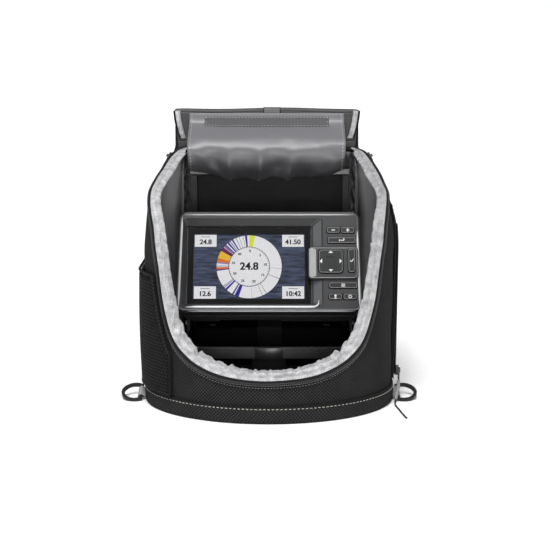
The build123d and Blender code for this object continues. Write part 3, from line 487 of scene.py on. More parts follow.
def plan_ring(inset, fine=1):
    """The bag's outline from above, from the back's middle round by the left, the front and the right."""
    half, back, r = BOOT_HALF - inset, BACK_Y - inset, REAR_R - inset

    def corner(side, start, end):
        angle = np.radians(np.linspace(start, end, 14 * fine, endpoint=False))
        return np.column_stack([side * (half - r) + r * np.cos(angle), back - r + r * np.sin(angle)])

    def straight(a, b, count):
        share = np.linspace(0, 1, count * fine, endpoint=False)[:, None]
        return np.array(a) + share * (np.array(b) - np.array(a))

    angle = np.radians(np.linspace(180, 360, 150 * fine, endpoint=False))
    front = np.column_stack([half * np.cos(angle), FRONT_Y + (FRONT_DEPTH - inset) * np.sin(angle)])
    return np.vstack([
        straight((0, back), (r - half, back), 24),
        corner(-1, 90, 180),
        straight((-half, back - r), (-half, FRONT_Y), 40),
        front,
        straight((half, FRONT_Y), (half, back - r), 40),
        corner(1, 0, 90),
        straight((half - r, back), (0, back), 24),
    ])


def lean(z, inset):
    """How far the outline narrows at a height, where the shoulders lean in."""
    half = BOOT_HALF - inset
    share = np.clip((np.asarray(z) - (TOP_Z - SHOULDER_H)) / (SHOULDER_H - inset), 0, 1)
    return (half - (SHOULDER_W - inset) * (1 - np.sqrt(1 - share**2))) / half


def raised(ring, z, inset):
    """Points of the outline lifted to the heights z, which is one row of heights or a grid of them."""
    z = np.atleast_2d(z)
    x = ring[None, :, 0] * lean(z, inset)
    y = np.broadcast_to(ring[None, :, 1], z.shape)
    return np.stack([x, y, z], axis=2)


def wall(inset, bottom, top, rows, columns=None, fine=1):
    """A grid on the bag's surface between two heights, which may differ from column to column."""
    ring = plan_ring(inset, fine)
    ring = ring if columns is None else ring[columns]
    share = np.linspace(0, 1, rows)[:, None]
    low = np.broadcast_to(bottom, (len(ring),))
    high = np.broadcast_to(top, (len(ring),))
    return raised(ring, low + (high - low) * share, inset)


def rim_heights(inset, drop=0.0):
    """The height of a layer's top edge at every column of the outline."""
    ring = plan_ring(inset)
    return np.minimum(mouth_z(ring[:, 1]), TOP_Z - inset - 0.6) - drop


def wobble(run, size, seed):
    """Smooth random waves along a line, about -0.5 to 0.5."""
    return np.array([noise.noise(Vector((at / size, seed, 0.0))) for at in run])


def mouth_row(inset, drop, end_y, fine=1):
    """A line that follows the mouth's edge on the bag's outside, from rear left to rear right."""
    ring = plan_ring(inset, fine)
    ring = ring[(ring[:, 1] <= end_y) & (np.abs(ring[:, 0]) < BOOT_HALF + 20)]
    return raised(ring, mouth_z(ring[:, 1]) - drop, inset)[0]


def make_shell():
    """The bag's outer cloth and its lining, each with a front and a back face."""
    face, back = (
        dents(wall(inset, 2.6, rim_heights(inset), 56), *BAG_DENTS) for inset in (SHELL_OUT, SHELL_IN)
    )
    slab("bag_outer_cloth", face, back, [CLOTH, DARK_CLOTH], "root", wrap=True, slot="bag_fabric",
         replaces=["bag_front", "bag_shell"])
    outside = wall(LINING_OUT, 8.0, rim_heights(LINING_OUT, 1.0), 40)
    inside = dents(wall(LINING_IN, 8.0, rim_heights(LINING_IN, 1.0), 40), 0.5, 30.0, 8.0)
    slab("bag_lining_cloth", inside, outside, [LIT_WALL_LINING, DARK_CLOTH], "root", wrap=True, slot="lining",
         replaces=["bag_lining"])


def level_ring(inset, z):
    """The bag's outline at one height."""
    ring = plan_ring(inset)
    return raised(ring, np.full(len(ring), z), inset)[0]


def make_boot():
    """The base band with its rolled foot, the floor under the bag and the light stitching on top."""
    section = [
        (2.4, 0.0), (1.2, 0.3), (0.3, 1.4), (0.0, 4.0), (-0.1, 9.0), (0.1, 13.5), (0.7, 15.6), (1.6, 16.2),
        (2.4, 15.8),
    ]
    sections = np.stack([level_ring(inset, z) for inset, z in section], axis=1)
    loft("boot_band", sections, [BAND], "root", closed=True, slot="boot", replaces=["base_boot"])
    ring = plan_ring(1.2)
    low = np.column_stack([ring, np.full(len(ring), 0.2)])
    high = np.column_stack([ring * 0.995, np.full(len(ring), 2.4)])
    count = len(ring)
    faces = [tuple(range(count)), tuple(range(2 * count - 1, count - 1, -1))]
    faces += band_faces(count)
    add_mesh("boot_floor", np.vstack([low, high]), faces, [BAND], "root", slot="boot", smooth=False)
    seam = level_ring(-0.1, 14.2)
    seam = np.vstack([seam, seam[:1]])
    stitches("boot_stitching", [seam], THREAD, "root", pitch=3.8, length=2.6, radius=0.34)
    piping("boot_piping", level_ring(1.0, 16.4), 0.8, DARK_CLOTH, "root", closed=True)


def make_mouth():
    """Zip tape, coil and stitching round the mouth, and the puckered light facing inside it."""
    face, back = (
        dents(np.stack([mouth_row(inset, drop, 88.0) for drop in (7.0, 4.5, 2.2, 0.2)]), *BAG_DENTS)
        for inset in (1.5, 2.4)
    )
    slab("mouth_zip_tape", face, back, [TAPE], "root", slot="zip", replaces=["zip_tape"])
    coil("mouth_zip_coil", dents(mouth_row(0.9, 1.6, 86.0), *BAG_DENTS), 0.9, "root", "zip")
    seam, teeth = (dents(mouth_row(*row, 84.0), *BAG_DENTS) for row in ((1.3, 5.6), (0.9, 3.2)))
    stitches("mouth_tape_stitching", [seam], DARK_THREAD, "root", pitch=2.8, length=1.8, radius=0.2)
    # The zip's teeth as small pale beads: painted highlights along the dark coil.
    stitches("mouth_zip_teeth", [teeth], TEETH_HIGHLIGHT, "root", pitch=1.7, length=1.1, radius=0.34, slot="zip")
    ring = plan_ring(SHELL_OUT, 4)
    columns = ring[:, 1] <= 84.0
    edge = raised(ring[columns], mouth_z(ring[columns][:, 1]), SHELL_OUT)[0]
    run = run_along(edge)
    narrow = np.interp(edge[:, 1], [-200, -98, -86, -45, 0, 62, 84], [0.92, 0.92, 0.72, 0.70, 1.0, 1.04, 0.4])
    seams = sum(np.exp(-(((run - share * run[-1]) / 2.0) ** 2)) for share in (0.403, 0.597))
    pucker = wobble(run, 6.0, 1.0) * 3.3
    small = wobble(run, 2.9, 7.0) * 2.8
    settle = np.interp(edge[:, 1], [36, 60], [1.0, 0.1])
    profile = [
        (2.6, -3.2, 0), (2.7, 0.4, 0), (3.4, 2.2, 0.25), (5.4, 3.0, 0.7), (8.0, 2.5, 0.8), (9.8, 3.0, 1.1),
        (11.8, 2.4, 1.0), (14.0, 1.8, 0.9), (15.6, 0.6, 0.8), (16.2, -0.8, 0.6), (15.0, -2.0, 0.3),
        (9.0, -2.6, 0),
    ]
    base = plan_ring(SHELL_OUT, 4)[columns]
    ahead = (base[:, 1] - FRONT_Y).clip(max=0) / FRONT_DEPTH**2
    away = unit(np.column_stack([base[:, 0] / BOOT_HALF**2, ahead]))
    loops = []
    for inset, lift, share in profile:
        reach = (inset - 2.6) * narrow * (1 - 0.22 * seams) + share * (0.3 * small + 0.55 * pucker)
        moved = base - away * reach[:, None]
        over_wall = mouth_z((base - away * np.minimum(reach, 5.2)[:, None])[:, 1])
        climb = over_wall - edge[:, 2] + 0.25 * (mouth_z(moved[:, 1]) - over_wall)
        z = edge[:, 2] + climb + settle * (lift + share * (0.7 * pucker + 0.35 * small)) - 1.2 * seams * share
        loops.append(np.column_stack([moved[:, 0] * lean(z, SHELL_OUT), moved[:, 1], z]))
    gathered = dents(np.stack(loops, axis=1), *BAG_DENTS)
    loft("mouth_facing_cloth", gathered, [FACING], "root", slot="facing", replaces=["opening_facing"])
    sewn = gathered[:, 4]
    stitches("facing_stitching", [sewn + (0, 0, 0.35)], DARK_THREAD, "root", pitch=3.0, length=1.7,
             radius=0.24)


def pocket_columns(side, front_y, back_y):
    """The columns of the outline that lie on one side wall between two depths."""
    ring = plan_ring(0.0)
    return np.flatnonzero((side * ring[:, 0] > 60) & (ring[:, 1] >= front_y) & (ring[:, 1] <= back_y))


# A hexagon's row spacing and corner distance, as shares of its width.
HEX_RISE, HEX_REACH = 0.866, 0.5774


def make_mesh_pocket():
    """Honeycomb net over the left wall, with its bound edges and the cloth behind it."""
    columns = pocket_columns(-1, -82.0, 68.0)
    low, net_inset = 19.5, -2.2
    ring = plan_ring(net_inset)[columns]
    run = run_along(ring)
    rim = np.minimum(127.0, mouth_z(plan_ring(0.0)[columns][:, 1]) - 12.0)

    def place(along, z):
        high = np.interp(along, run, rim)
        up = min(1, max(0, (z - low) / (high - low)))
        bulge = 1.2 * math.sin(math.pi * up) * math.sin(math.pi * along / run[-1])
        x, y = np.interp(along, run, ring[:, 0]), np.interp(along, run, ring[:, 1])
        away = unit(np.array([x / BOOT_HALF, min(0, y - FRONT_Y) / FRONT_DEPTH]))
        return (x * float(lean(z, 0)) + away[0] * bulge, y + away[1] * bulge, z)

    cell = 3.6
    rise, reach = cell * HEX_RISE, cell * HEX_REACH
    index, verts, faces = {}, [], []
    for row in range(int((128 - low) / rise)):
        for col in range(int(run[-1] / cell)):
            centre = (cell * (col + 0.5 * (row % 2) + 0.6), low + rise * (row + 0.7))
            turns = [math.radians(60 * k + 30) for k in range(6)]
            corners = [
                (centre[0] + reach * math.cos(turn), centre[1] + reach * math.sin(turn)) for turn in turns
            ]
            top = np.interp(centre[0], run, rim)
            if centre[1] + cell > top or corners[0][0] > run[-1] or corners[2][0] < 0:
                continue
            keys = [(round(a * 20), round(z * 20)) for a, z in corners]
            for key, corner in zip(keys, corners):
                if key not in index:
                    index[key] = len(verts)
                    verts.append(place(*corner))
            faces.append(tuple(index[key] for key in keys))
    net = add_mesh("pocket_net", verts, faces, [NET], None, slot="mesh", replaces=["mesh_pocket"])
    threads = net.modifiers.new("threads", "WIREFRAME")
    threads.thickness = 1.2 * MM
    threads.use_even_offset = False
    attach(net, "root")
    outer = wall(-0.6, low, rim, 24, columns)
    inner = wall(0.4, low, rim, 24, columns)
    slab("pocket_backing", outer, inner, [DARK_CLOTH], "root", slot="mesh")
    top = np.array([place(a, h) for a, h in zip(run, rim)])
    foot = np.array([place(a, low) for a in run])
    piping("pocket_top_binding", top, 1.3, CLOTH, "root")
    piping("pocket_foot_binding", foot, 1.0, CLOTH, "root")
    for name, here in (("front", -1), ("rear", 0)):
        rows = np.linspace(low, rim[here], 30)
        line = np.array([place(run[here], z) for z in rows])
        piping(f"pocket_{name}_binding", line, 0.8, DARK_CLOTH, "root")


def make_side_pocket():
    """Padded zipped pocket on the right wall, with piping, its zip and the bound edge."""
    columns = pocket_columns(1, -31.5, 70.0)
    low, high, rows = 20.5, 186.0, 44
    share = np.linspace(-1, 1, rows)[:, None]
    across = np.linspace(-1, 1, len(columns))[None, :]
    crown = (1 - share**8) * (1 - across**8)
    ring = plan_ring(-2.0)[columns]
    grid = wall(0.0, low, high, rows, columns)
    grid[:, :, 0] += -1.0 + 4.2 * crown
    y = ring[:, 1][None, :]
    grid[:, :, 0] -= 2.0 * np.exp(-(((y + 25.0) / 3.2) ** 2)) * crown
    grid = dents(grid, 0.8, 26.0, 5.0)
    back = wall(2.0, low, high, rows, columns)
    pad = slab("side_pocket_pad", grid, back, [CLOTH, DARK_CLOTH], "root", slot="bag_fabric",
               replaces=["side_pocket"])
    edge = np.vstack([grid[0], grid[1:, -1], grid[-1][::-1], grid[::-1][1:, 0]])
    piping("side_pocket_piping", edge + (0.5, 0, 0), 1.0, DARK_CLOTH, "root")
    z = np.linspace(22.0, 168.0, 60)
    x = 119.6 * lean(z, 0.0)
    line = np.column_stack([x + 0.6, np.full_like(z, -25.0), z])
    band = np.stack([line + (0.0, dy, 0) for dy in (-4.6, -1.5, 1.5, 4.6)], axis=1)
    slab("side_zip_band", band + (0.3, 0, 0), band - (0.3, 0, 0), [TAPE], "root", slot="zip",
         replaces=["side_zip_tape"])
    coil("side_zip_coil", line + (0.5, 0, 0), 0.75, "root", "zip")


def make_back_pad():
    """Soft foam pad inside the back wall."""
    low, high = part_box("back_pad")
    x = np.linspace(low.x, high.x, 90) / MM
    z = np.linspace(low.z, high.z, 72) / MM
    grid_x, grid_z = np.meshgrid(x, z)
    edge = 1 - np.abs(grid_x / (high.x / MM)) ** 10
    edge = edge * (1 - np.abs((grid_z - z.mean()) / (z[-1] - z.mean())) ** 10)
    crease = np.array([[noise.noise(Vector((a / 30 + b / 55, b / 14, 4.0))) for a in x] for b in z])
    front = np.stack([grid_x, 91.0 - (1.2 + 2.2 * np.abs(crease)) * edge, grid_z], axis=2)
    rear = np.stack([grid_x, np.full_like(grid_x, 92.4), grid_z], axis=2)
    pad = slab("back_pad_cushion", front, rear, [INNER, DARK_CLOTH], "root", slot="lining",
               replaces=["back_pad"])


def ribbon(name, middle, half_width, place, material, **facts):
    """A webbing strip that follows a line seen from its side.
    place(along, across, up) puts it in the frame."""
    line = np.array(middle, float)
    ahead = unit(np.gradient(line, axis=0))
    normal = np.column_stack([-ahead[:, 1], ahead[:, 0]])
    across = np.linspace(-half_width, half_width, 14)
    faces = []
    for shift in (0.45, -0.45):
        faces.append(np.array([[place(a, w, b) for w in across] for a, b in line + normal * shift]))
    return slab(name, faces[0], faces[1], [material], "root", slot="webbing", **facts)


def make_webbing():
    """The tabs folded round the strap rings' bars, and the strap over the battery."""
    turn = np.radians(np.linspace(125, -125, 22))
    fold = list(zip(2.45 * np.cos(turn), 2.45 * np.sin(turn)))
    upper = [(-5.4, 0.75), (-4.4, 0.8), (-3.4, 1.05), (-2.3, 1.6)]
    loop = [*upper, *fold, *[(a, -b) for a, b in reversed(upper)]]
    tilt = math.radians(20)
    for side, word in ((-1, "left"), (1, "right")):

        def place(a, w, b):
            wave = 0.12 * math.sin(w * 1.3 + a)
            y = -31.0 + w * math.cos(tilt) - b * math.sin(tilt)
            return (side * (122.3 + a) + side * wave, y, 5.4 + w * math.sin(tilt) + b * math.cos(tilt))

        ribbon(f"ring_tab_{word}_webbing", loop, 6.4, place, TAB, replaces=["ring_tabs"])
    corner = [(29.0 - 0.6 * math.sin(t), 53.2 + 0.6 * math.cos(t)) for t in np.linspace(0, math.pi / 2, 6)]
    over = [(y, 53.8) for y in np.linspace(88.0, 29.6, 30)]
    down = [(28.4, z) for z in np.linspace(52.6, 15.9, 20)]
    ribbon("battery_strap_webbing", over + corner + down, 12.4, lambda a, w, b: (w, a, b), WEBBING,
           replaces=["battery_strap"])


# ------------------------------------------------------------------ the lid
LID_Y, LID_BACK, FOLD_Z, BEND_Z, LID_END = 99.25, 103.75, 263.6, 148.0, 6.5
LID_HALF_THICK = 1.5
LID_SHIFT = -3.0


def lid_line():
    """The folded lid from the side: heights and depths of its middle, with the body of each stretch."""
    radius = (LID_BACK - LID_Y) / 2
    turns = np.linspace(0, math.pi, 13)[1:-1]
    arc = [(LID_Y + radius - radius * math.cos(t), FOLD_Z + radius * math.sin(t)) for t in turns]
    stretches = [
        ("lid_hem", [(LID_Y, z) for z in np.linspace(227.0, 234.0, 6)]),
        ("lid_lining_panel", [(LID_Y, z) for z in np.linspace(234.0, FOLD_Z, 16)]),
        ("lid_fold", [(LID_Y, FOLD_Z), *arc, (LID_BACK, FOLD_Z)]),
        ("lid_hanging_panel", [(LID_BACK, z) for z in np.linspace(FOLD_Z, BEND_Z + 3, 44)]),
        ("lid_bend", [(LID_BACK, z) for z in np.linspace(BEND_Z + 3, BEND_Z - 3, 8)]),
        ("lid_end_panel", [(LID_BACK, z) for z in np.linspace(BEND_Z - 3, LID_END, 54)]),
    ]
    return stretches


def lid_half(y, z):
    """Half the lid's width at a place along it."""
    if y < (LID_Y + LID_BACK) / 2:
        return np.interp(z, [227, 245, FOLD_Z], [91.0, 92.5, 94.5])
    half = np.interp(z, [BEND_Z, 205, 228, FOLD_Z], [103.5, 103.5, 94.8, 94.5])
    rise = 60.0
    if z < LID_END + rise:
        half = 103.5 * math.sqrt(max(0.0, 1 - ((LID_END + rise - z) / rise) ** 2))
    return max(half, 6.0)


def lid_shift(y, z):
    """The lid hangs a little to the left of the bag's middle where it is folded back."""
    return LID_SHIFT if y < LID_BACK else LID_SHIFT * np.interp(z, [BEND_Z, 205], [0, 1])


def lid_grid(line, offset):
    """Points of the lid's inside or outside, offset from its middle and creased a little."""
    shares = np.sin(np.linspace(-1, 1, 72) * math.pi / 2)
    ahead = unit(np.gradient(np.array(line, float), axis=0))
    grid = np.zeros((len(line), len(shares), 3))
    for i, (y, z) in enumerate(line):
        half = lid_half(y, z)
        slack = np.interp(z, [20, 120, 225, 266], [3.0, 2.6, 1.2, 0.5])
        for k, share in enumerate(shares):
            x = share * half + lid_shift(y, z)
            push = slack * noise.noise(Vector((x / 34, z / 46, 2.0)))
            push += 0.35 * slack * noise.noise(Vector((x / 11, z / 15, 5.0)))
            edge = math.sqrt(max(0.0, 1 - abs(share) ** 14))
            normal = (ahead[i][1], -ahead[i][0])
            grid[i, k] = (x, y + normal[0] * offset * edge + push, z + normal[1] * offset * edge)
    grid[:, :, 2] += 0.7 * np.sin(grid[:, :, 0] / 21 + 1.0) * (grid[:, :, 2] > FOLD_Z - 2)
    return grid


def make_lid():
    """The lid's three panels and the cloth that bends between them."""
    riders = {"lid_lining_panel": "lid_root", "lid_hanging_panel": "lid_top", "lid_end_panel": "lid_front"}
    joins = {
        "lid_hem": ("root", "lid_root", (0, 0.098, 0.2285), (0, 0.098, 0.2335)),
        "lid_fold": ("lid_root", "lid_top", (0, 0.0992, 0.2655), (0, 0.1038, 0.2655)),
        "lid_bend": ("lid_top", "lid_front", (0, 0.1037, 0.151), (0, 0.1037, 0.145)),
    }
    for name, line in lid_line():
        outside = lid_grid(line, LID_HALF_THICK)
        inside = lid_grid(line, -LID_HALF_THICK)
        body = riders.get(name)
        panel = slab(name, inside, outside, [LINING, CLOTH], body, slot="lid_fabric",
                     replaces=[body] if body else ())
        if name in joins:
            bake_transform(panel)


def lid_trim():
    """Puckered facing down both sides of the standing panel, its dark piping and the keeper loop."""
    for side, word in ((-1, "left"), (1, "right")):
        low = TOP_Z + 5.0
        z = np.linspace(low, 265.0, 90)
        share = (z - TOP_Z) / 33.0
        proud = np.interp(z, [low, low + 15.0], [0.3, 1.0])
        inner = 90.0 - 6.0 * (1 - share) ** 2 + 1.5 * share
        pucker = np.sin(TURN * z / 6.5) * 0.35
        loops = []
        for reach, lift in ((0, 0.2), (0.2, 1.2), (2.2, 1.9), (4.6, 1.5), (5.4, 0.3)):
            x = side * (inner - 3.0 + reach + pucker * (lift > 1)) + LID_SHIFT
            loops.append(np.column_stack([x, 97.9 - proud * (lift + 0.4 * pucker * (lift > 1)), z]))
        loft(f"lid_facing_{word}", np.stack(loops, axis=1), [FACING], "lid_root", slot="facing")
        outer = np.column_stack([side * (inner + 3.4) + LID_SHIFT, np.full_like(z, 98.2), z])
        piping(f"lid_piping_{word}", outer, 0.9, TAPE, "lid_root")
    loop = [(96.6, 254.0), (96.2, 262.0), (96.0, 267.2), (96.5, 268.6), (97.1, 267.2), (97.0, 262.0)]
    front = smooth_line(loop, 26)
    left, right = -5.8, 10.6
    x = np.linspace(left, right, 12)
    grid = np.stack([np.column_stack([x, np.full_like(x, y), np.full_like(x, z)]) for y, z in front])
    normal = unit(np.gradient(front, axis=0))[:, [1, 0]] * (1, -1)
    shift = np.column_stack([np.zeros(len(front)), normal])[:, None] * 0.3
    slab("lid_keeper_strap", grid + shift, grid - shift, [LOOP], "lid_root", slot="webbing",
         replaces=["lid_pull_tab"])
    for word, at in (("left", left - 0.1), ("right", right + 0.1)):
        line = np.array([(at, y - 0.1, z) for y, z in front[:16]])
        piping(f"keeper_edge_{word}", line, 0.35, TAPE, "lid_root")


FLAP_LINE = [
    (94.4, 262.5), (91.0, 254.0), (83.6, 248.4), (73.8, 243.6), (62.6, 237.7), (54.6, 229.4), (53.0, 219.0),
    (57.6, 207.6), (65.0, 198.4),
]
FLAP_HALF = 79.0
FLAP_STEPS = 160


def flap_point(share_x, share_s, lift=0.0):
    """A place on the hanging flap: across it from -1 to 1 and down it from 0 to 1, lifted off its middle."""
    line = smooth_line(FLAP_LINE, FLAP_STEPS + 1)
    shorten = 1 - 0.10 * abs(share_x) ** 3
    at = np.clip(share_s * shorten * FLAP_STEPS, 0, FLAP_STEPS - 0.001)
    k = int(at)
    y, z = line[k] + (line[k + 1] - line[k]) * (at - k)
    way = unit(line[min(k + 1, FLAP_STEPS)] - line[max(k - 1, 0)])
    normal = np.array([way[1], -way[0]])
    x = share_x * FLAP_HALF
    low = min(1.0, max(0.0, (share_s - 0.60) / 0.26))
    belly = 1.2 * math.sin(math.pi * min(1.0, max(0.0, (share_s - 0.2) / 0.5))) * (1 - share_x**6)
    drift = 1.6 * math.sin(x / 23) + 2.2 * share_s * math.sin(x / 37 + 1)
    ridge = 1 - 2 * math.sqrt(math.sin(x / 16 + drift / 2) ** 2 + 0.03)
    fold = low * (4.4 * ridge + 1.6 * math.sin(x / 10 - 5 * share_s))
    crease = (0.25 + 0.75 * low) * 2.6 * noise.noise(Vector((x / 15, share_s * 6.5, 3.0)))
    off = belly + fold * 0.8 + crease * min(1.0, share_s * 5) + lift
    z += 1.6 * low * math.sin(x / 13 + 0.5)
    return (x * (1 - 0.012 * low) + LID_SHIFT, y + normal[0] * off, z + normal[1] * off)


def flap_grid(wide, low, high, columns, rows, lift):
    """Part of the flap as a grid of points, lifted off its middle."""
    across, down = np.linspace(-wide, wide, columns), np.linspace(low, high, rows)
    return np.array([[flap_point(a, s, lift) for a in across] for s in down])


def make_flap():
    """The storage flap, its sewn patch and its stitching."""
    face, back = (flap_grid(1, 0, 1, 110, 64, lift) for lift in (0.35, -0.35))
    cloth = slab("storage_flap_cloth", face, back, [FLAP, FLAP], "flap", slot="flap_fabric",
                 replaces=["rear_flap"])
    low, high, wide = 0.055, 0.235, 0.80
    upper, lower = (flap_grid(wide, low, high, 80, 14, lift) for lift in (0.95, 0.35))
    slab("flap_stitched_patch", upper, lower, [PATCH], "flap", slot="webbing", replaces=["flap_hook_strip"])

    def seam(points):
        return [flap_point(a, s, 1.05) for a, s in points]

    inset_low, inset_high, inset_wide = low + 0.012, high - 0.012, wide - 0.02
    box = [
        seam([(a, inset_low) for a in np.linspace(-inset_wide, inset_wide, 60)]),
        seam([(a, inset_high) for a in np.linspace(-inset_wide, inset_wide, 60)]),
        seam([(-inset_wide, s) for s in np.linspace(inset_low, inset_high, 10)]),
        seam([(inset_wide, s) for s in np.linspace(inset_low, inset_high, 10)]),
    ]
    sides = [[flap_point(a, s, 0.5) for s in np.linspace(0.04, 0.97, 60)] for a in (-0.965, 0.965)]
    stitches("flap_stitching", box + sides, THREAD, "flap", pitch=3.2, length=1.9, radius=0.3)


# ------------------------------------------------------------------ the display
AXIS_V = np.array([0.0, math.sin(FACE_LEAN), math.cos(FACE_LEAN)])
AXIS_N = np.array([0.0, -math.cos(FACE_LEAN), math.sin(FACE_LEAN)])


def on_face(u, v, n):
    """A place on the display's face: u to the right, v up it and n out of it."""
    return np.array([u, 0.0, FACE_Z]) + v * AXIS_V + n * AXIS_N


def plates(name, outlines, n, thick, material, body="display", slot=None, replaces=()):
    """Thin closed plates on the display's face, one for each outline of (u, v) points."""
    verts, faces = [], []
    for outline in outlines:
        base, count = len(verts), len(outline)
        verts += [on_face(u, v, n) for u, v in outline] + [on_face(u, v, n + thick) for u, v in outline]
        faces += [tuple(range(base, base + count))[::-1], tuple(range(base + count, base + 2 * count))]
        faces += band_faces(count, base)
    return add_mesh(name, verts, faces, [material], body, slot=slot, replaces=replaces, smooth=False)


def sector(centre, inner, outer, start, end):
    """Part of a ring, with angles in degrees clockwise from the top."""
    steps = max(3, int(abs(end - start) / 3))
    angle = np.radians(np.linspace(start, end, steps))
    out = [(centre[0] + outer * math.sin(a), centre[1] + outer * math.cos(a)) for a in angle]
    back = [(centre[0] + inner * math.sin(a), centre[1] + inner * math.cos(a)) for a in angle[::-1]]
    return out + back


def rectangle(u0, v0, u1, v1):
    """Four corners, anticlockwise."""
    return [(u0, v0), (u1, v0), (u1, v1), (u0, v1)]


def bar(a, b, width):
    """A straight stroke between two places."""
    a, b = np.array(a, float), np.array(b, float)
    way = unit(b - a)
    side = np.array([-way[1], way[0]]) * width / 2
    return [tuple(a - side), tuple(b - side), tuple(b + side), tuple(a + side)]


def bold_figures(name, text, size, place, n, material):
    """The same figures twice, a hair apart, which thickens their strokes."""
    for word, step, lift in (("", -0.018, 0.0), ("_bold", 0.018, 0.02)):
        figures(name + word, text, size, (place[0] + step * size, place[1]), n + lift, material)


def figures(name, text, size, place, n, material):
    """Figures on the screen, as thin solid shapes."""
    curve = bpy.data.curves.new(name, "FONT")
    curve.body, curve.size = text, size * MM
    curve.align_x, curve.align_y = "CENTER", "CENTER"
    curve.extrude = 0.03 * MM
    curve.offset = 0.021 * size * MM
    holder = new_object(name + "_outline", curve)
    graph = bpy.context.evaluated_depsgraph_get()
    mesh = bpy.data.meshes.new_from_object(holder.evaluated_get(graph))
    bpy.data.objects.remove(holder)
    turned = Matrix.Rotation(math.pi / 2 - FACE_LEAN, 4, "X")
    mesh.transform(Matrix.Translation(Vector(on_face(*place, n)) * MM) @ turned)
    mesh.materials.clear()
    mesh.materials.append(material)
    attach(new_object(name, mesh), "display")


def make_screen():
    """The sonar picture: rippled water, an ice-fishing flasher dial and four boxes of readings."""
    white, ink = lit("screen_white", (0.72, 0.72, 0.74), 1.0), lit("screen_ink", (0.01, 0.01, 0.015), 0.2)
    colours = {
        "yellow": (0.75, 0.80, 0.03), "navy": (0.02, 0.015, 0.26), "orange": (0.75, 0.17, 0.02),
        "amber": (0.85, 0.50, 0.03), "maroon": (0.13, 0.01, 0.10), "lilac": (0.30, 0.24, 0.48),
        "grey": (0.30, 0.30, 0.32),
    }
    paint = {word: lit("screen_" + word, colour) for word, colour in colours.items()}
    water = lit("screen_water", (0.036, 0.046, 0.082), 1.0, 0.7, (70.0, 260.0, 520.0))
    (cu, cv), (w, h) = SCREEN_CENTRE, SCREEN_SIZE
    left, right, foot, head = cu - w / 2, cu + w / 2, cv - h / 2, cv + h / 2
    plates("screen_water", [rectangle(left, foot, right, head)], SCREEN_N, 0.05, water, slot="lcd")
    levels = [SCREEN_N + 0.08 + 0.07 * k for k in range(5)]

    def draw(name, outlines, level, colour):
        plates("screen_" + name, outlines, levels[level], 0.05, colour)

    def ring(inner, outer):
        return [sector(DIAL, inner, outer, 0, 359.9)]

    draw("dial_edge", ring(DIAL_INNER, DIAL_OUTER + 0.5), 0, ink)
    draw("dial_band", ring(DIAL_INNER + 0.3, DIAL_OUTER), 1, white)
    echoes = {
        "yellow": [(0, 10)],
        "navy": [(198, 206), (208, 211), (222, 226), (228, 229.5), (231, 232), (262, 264.5), (313, 315),
                 (317.5, 321), (323, 324.5), (327, 330), (352, 356)],
        "orange": [(264.5, 268.5), (279, 286)],
        "amber": [(286, 300)],
        "maroon": [(269, 270), (300, 308), (309, 311)],
        "lilac": [(272, 273), (276, 279), (311, 313)],
        "grey": [(93, 93.7), (112, 113.4), (147, 148.3), (155, 156), (174, 174.5), (335, 336.5), (341, 342),
                 (348, 349)],
    }
    for word, spans in echoes.items():
        outlines = [sector(DIAL, DIAL_INNER + 0.3, DIAL_OUTER, *span) for span in spans]
        draw("echo_" + word, outlines, 2, paint[word])
    turns = np.linspace(0, TURN, 72, False)
    disc = [(DIAL[0] + DIAL_INNER * math.cos(a), DIAL[1] + DIAL_INNER * math.sin(a)) for a in turns]
    draw("dial_face", [disc], 2, white)
    draw("dial_ring", ring(DIAL_INNER - 0.25, DIAL_INNER + 0.25), 3, ink)
    ticks = [sector(DIAL, DIAL_INNER - 1.4, DIAL_INNER, a - 0.5, a + 0.5) for a in range(0, 360, 8)]
    draw("dial_ticks", ticks, 3, ink)
    for k in range(9):
        turn = math.radians(k * 40 + 3)
        place = (DIAL[0] + 15.6 * math.sin(turn), DIAL[1] + 15.6 * math.cos(turn))
        bold_figures(f"screen_dial_figure_{5 * k}", str(5 * k), 3.4, place, levels[4], ink)
    bold_figures("screen_depth_reading", "24.8", 10.4, DIAL, levels[4], ink)
    boxes = [
        (-72.6, 16.6, -51.4, 28.8, "24.8"), (12.5, 16.6, 33.6, 28.8, "41.50"),
        (-72.6, -35.4, -51.4, -23.2, "12.6"), (12.5, -35.4, 33.6, -23.2, "10:42"),
    ]
    draw("reading_boxes", [rectangle(*box[:4]) for box in boxes], 0, white)
    tops = [((u0 + u1) / 2, v1) for u0, _, u1, v1, _ in boxes]
    rules = [rectangle(middle - 4.5, top - 2.6, middle + 4.5, top - 1.8) for middle, top in tops]
    draw("reading_rules", rules, 1, paint["grey"])
    for k, (u0, v0, u1, v1, text) in enumerate(boxes):
        place = ((u0 + u1) / 2, (v0 + v1) / 2 - 1.4)
        bold_figures(f"screen_reading_{k + 1}", text, 6.8, place, levels[1], ink)
    (gu, gv), (gw, gh) = GLASS_CENTRE, (GLASS_SIZE[0] - 2.4, GLASS_SIZE[1] - 2.4)
    outer_left, outer_right = gu - gw / 2, gu + gw / 2
    frame_parts = [
        rectangle(outer_left, head, outer_right, gv + gh / 2),
        rectangle(outer_left, gv - gh / 2, outer_right, foot),
        rectangle(outer_left, foot, left, head), rectangle(right, foot, outer_right, head),
    ]
    plates("lens_printed_border", frame_parts, -7.2, 0.3, MASK, slot="lens")


def rounded_outline(half_top, half_bottom, low, high, radius, steps=10):
    """The display's outline with round corners, anticlockwise from the lower left."""
    corners = [(-half_bottom + radius, low + radius, 180), (half_bottom - radius, low + radius, 270),
               (half_top - radius, high - radius, 0), (-half_top + radius, high - radius, 90)]
    points = []
    for u, v, start in corners:
        for turn in np.radians(np.linspace(start, start + 90, steps)):
            points.append((u + radius * math.cos(turn), v + radius * math.sin(turn)))
    return points


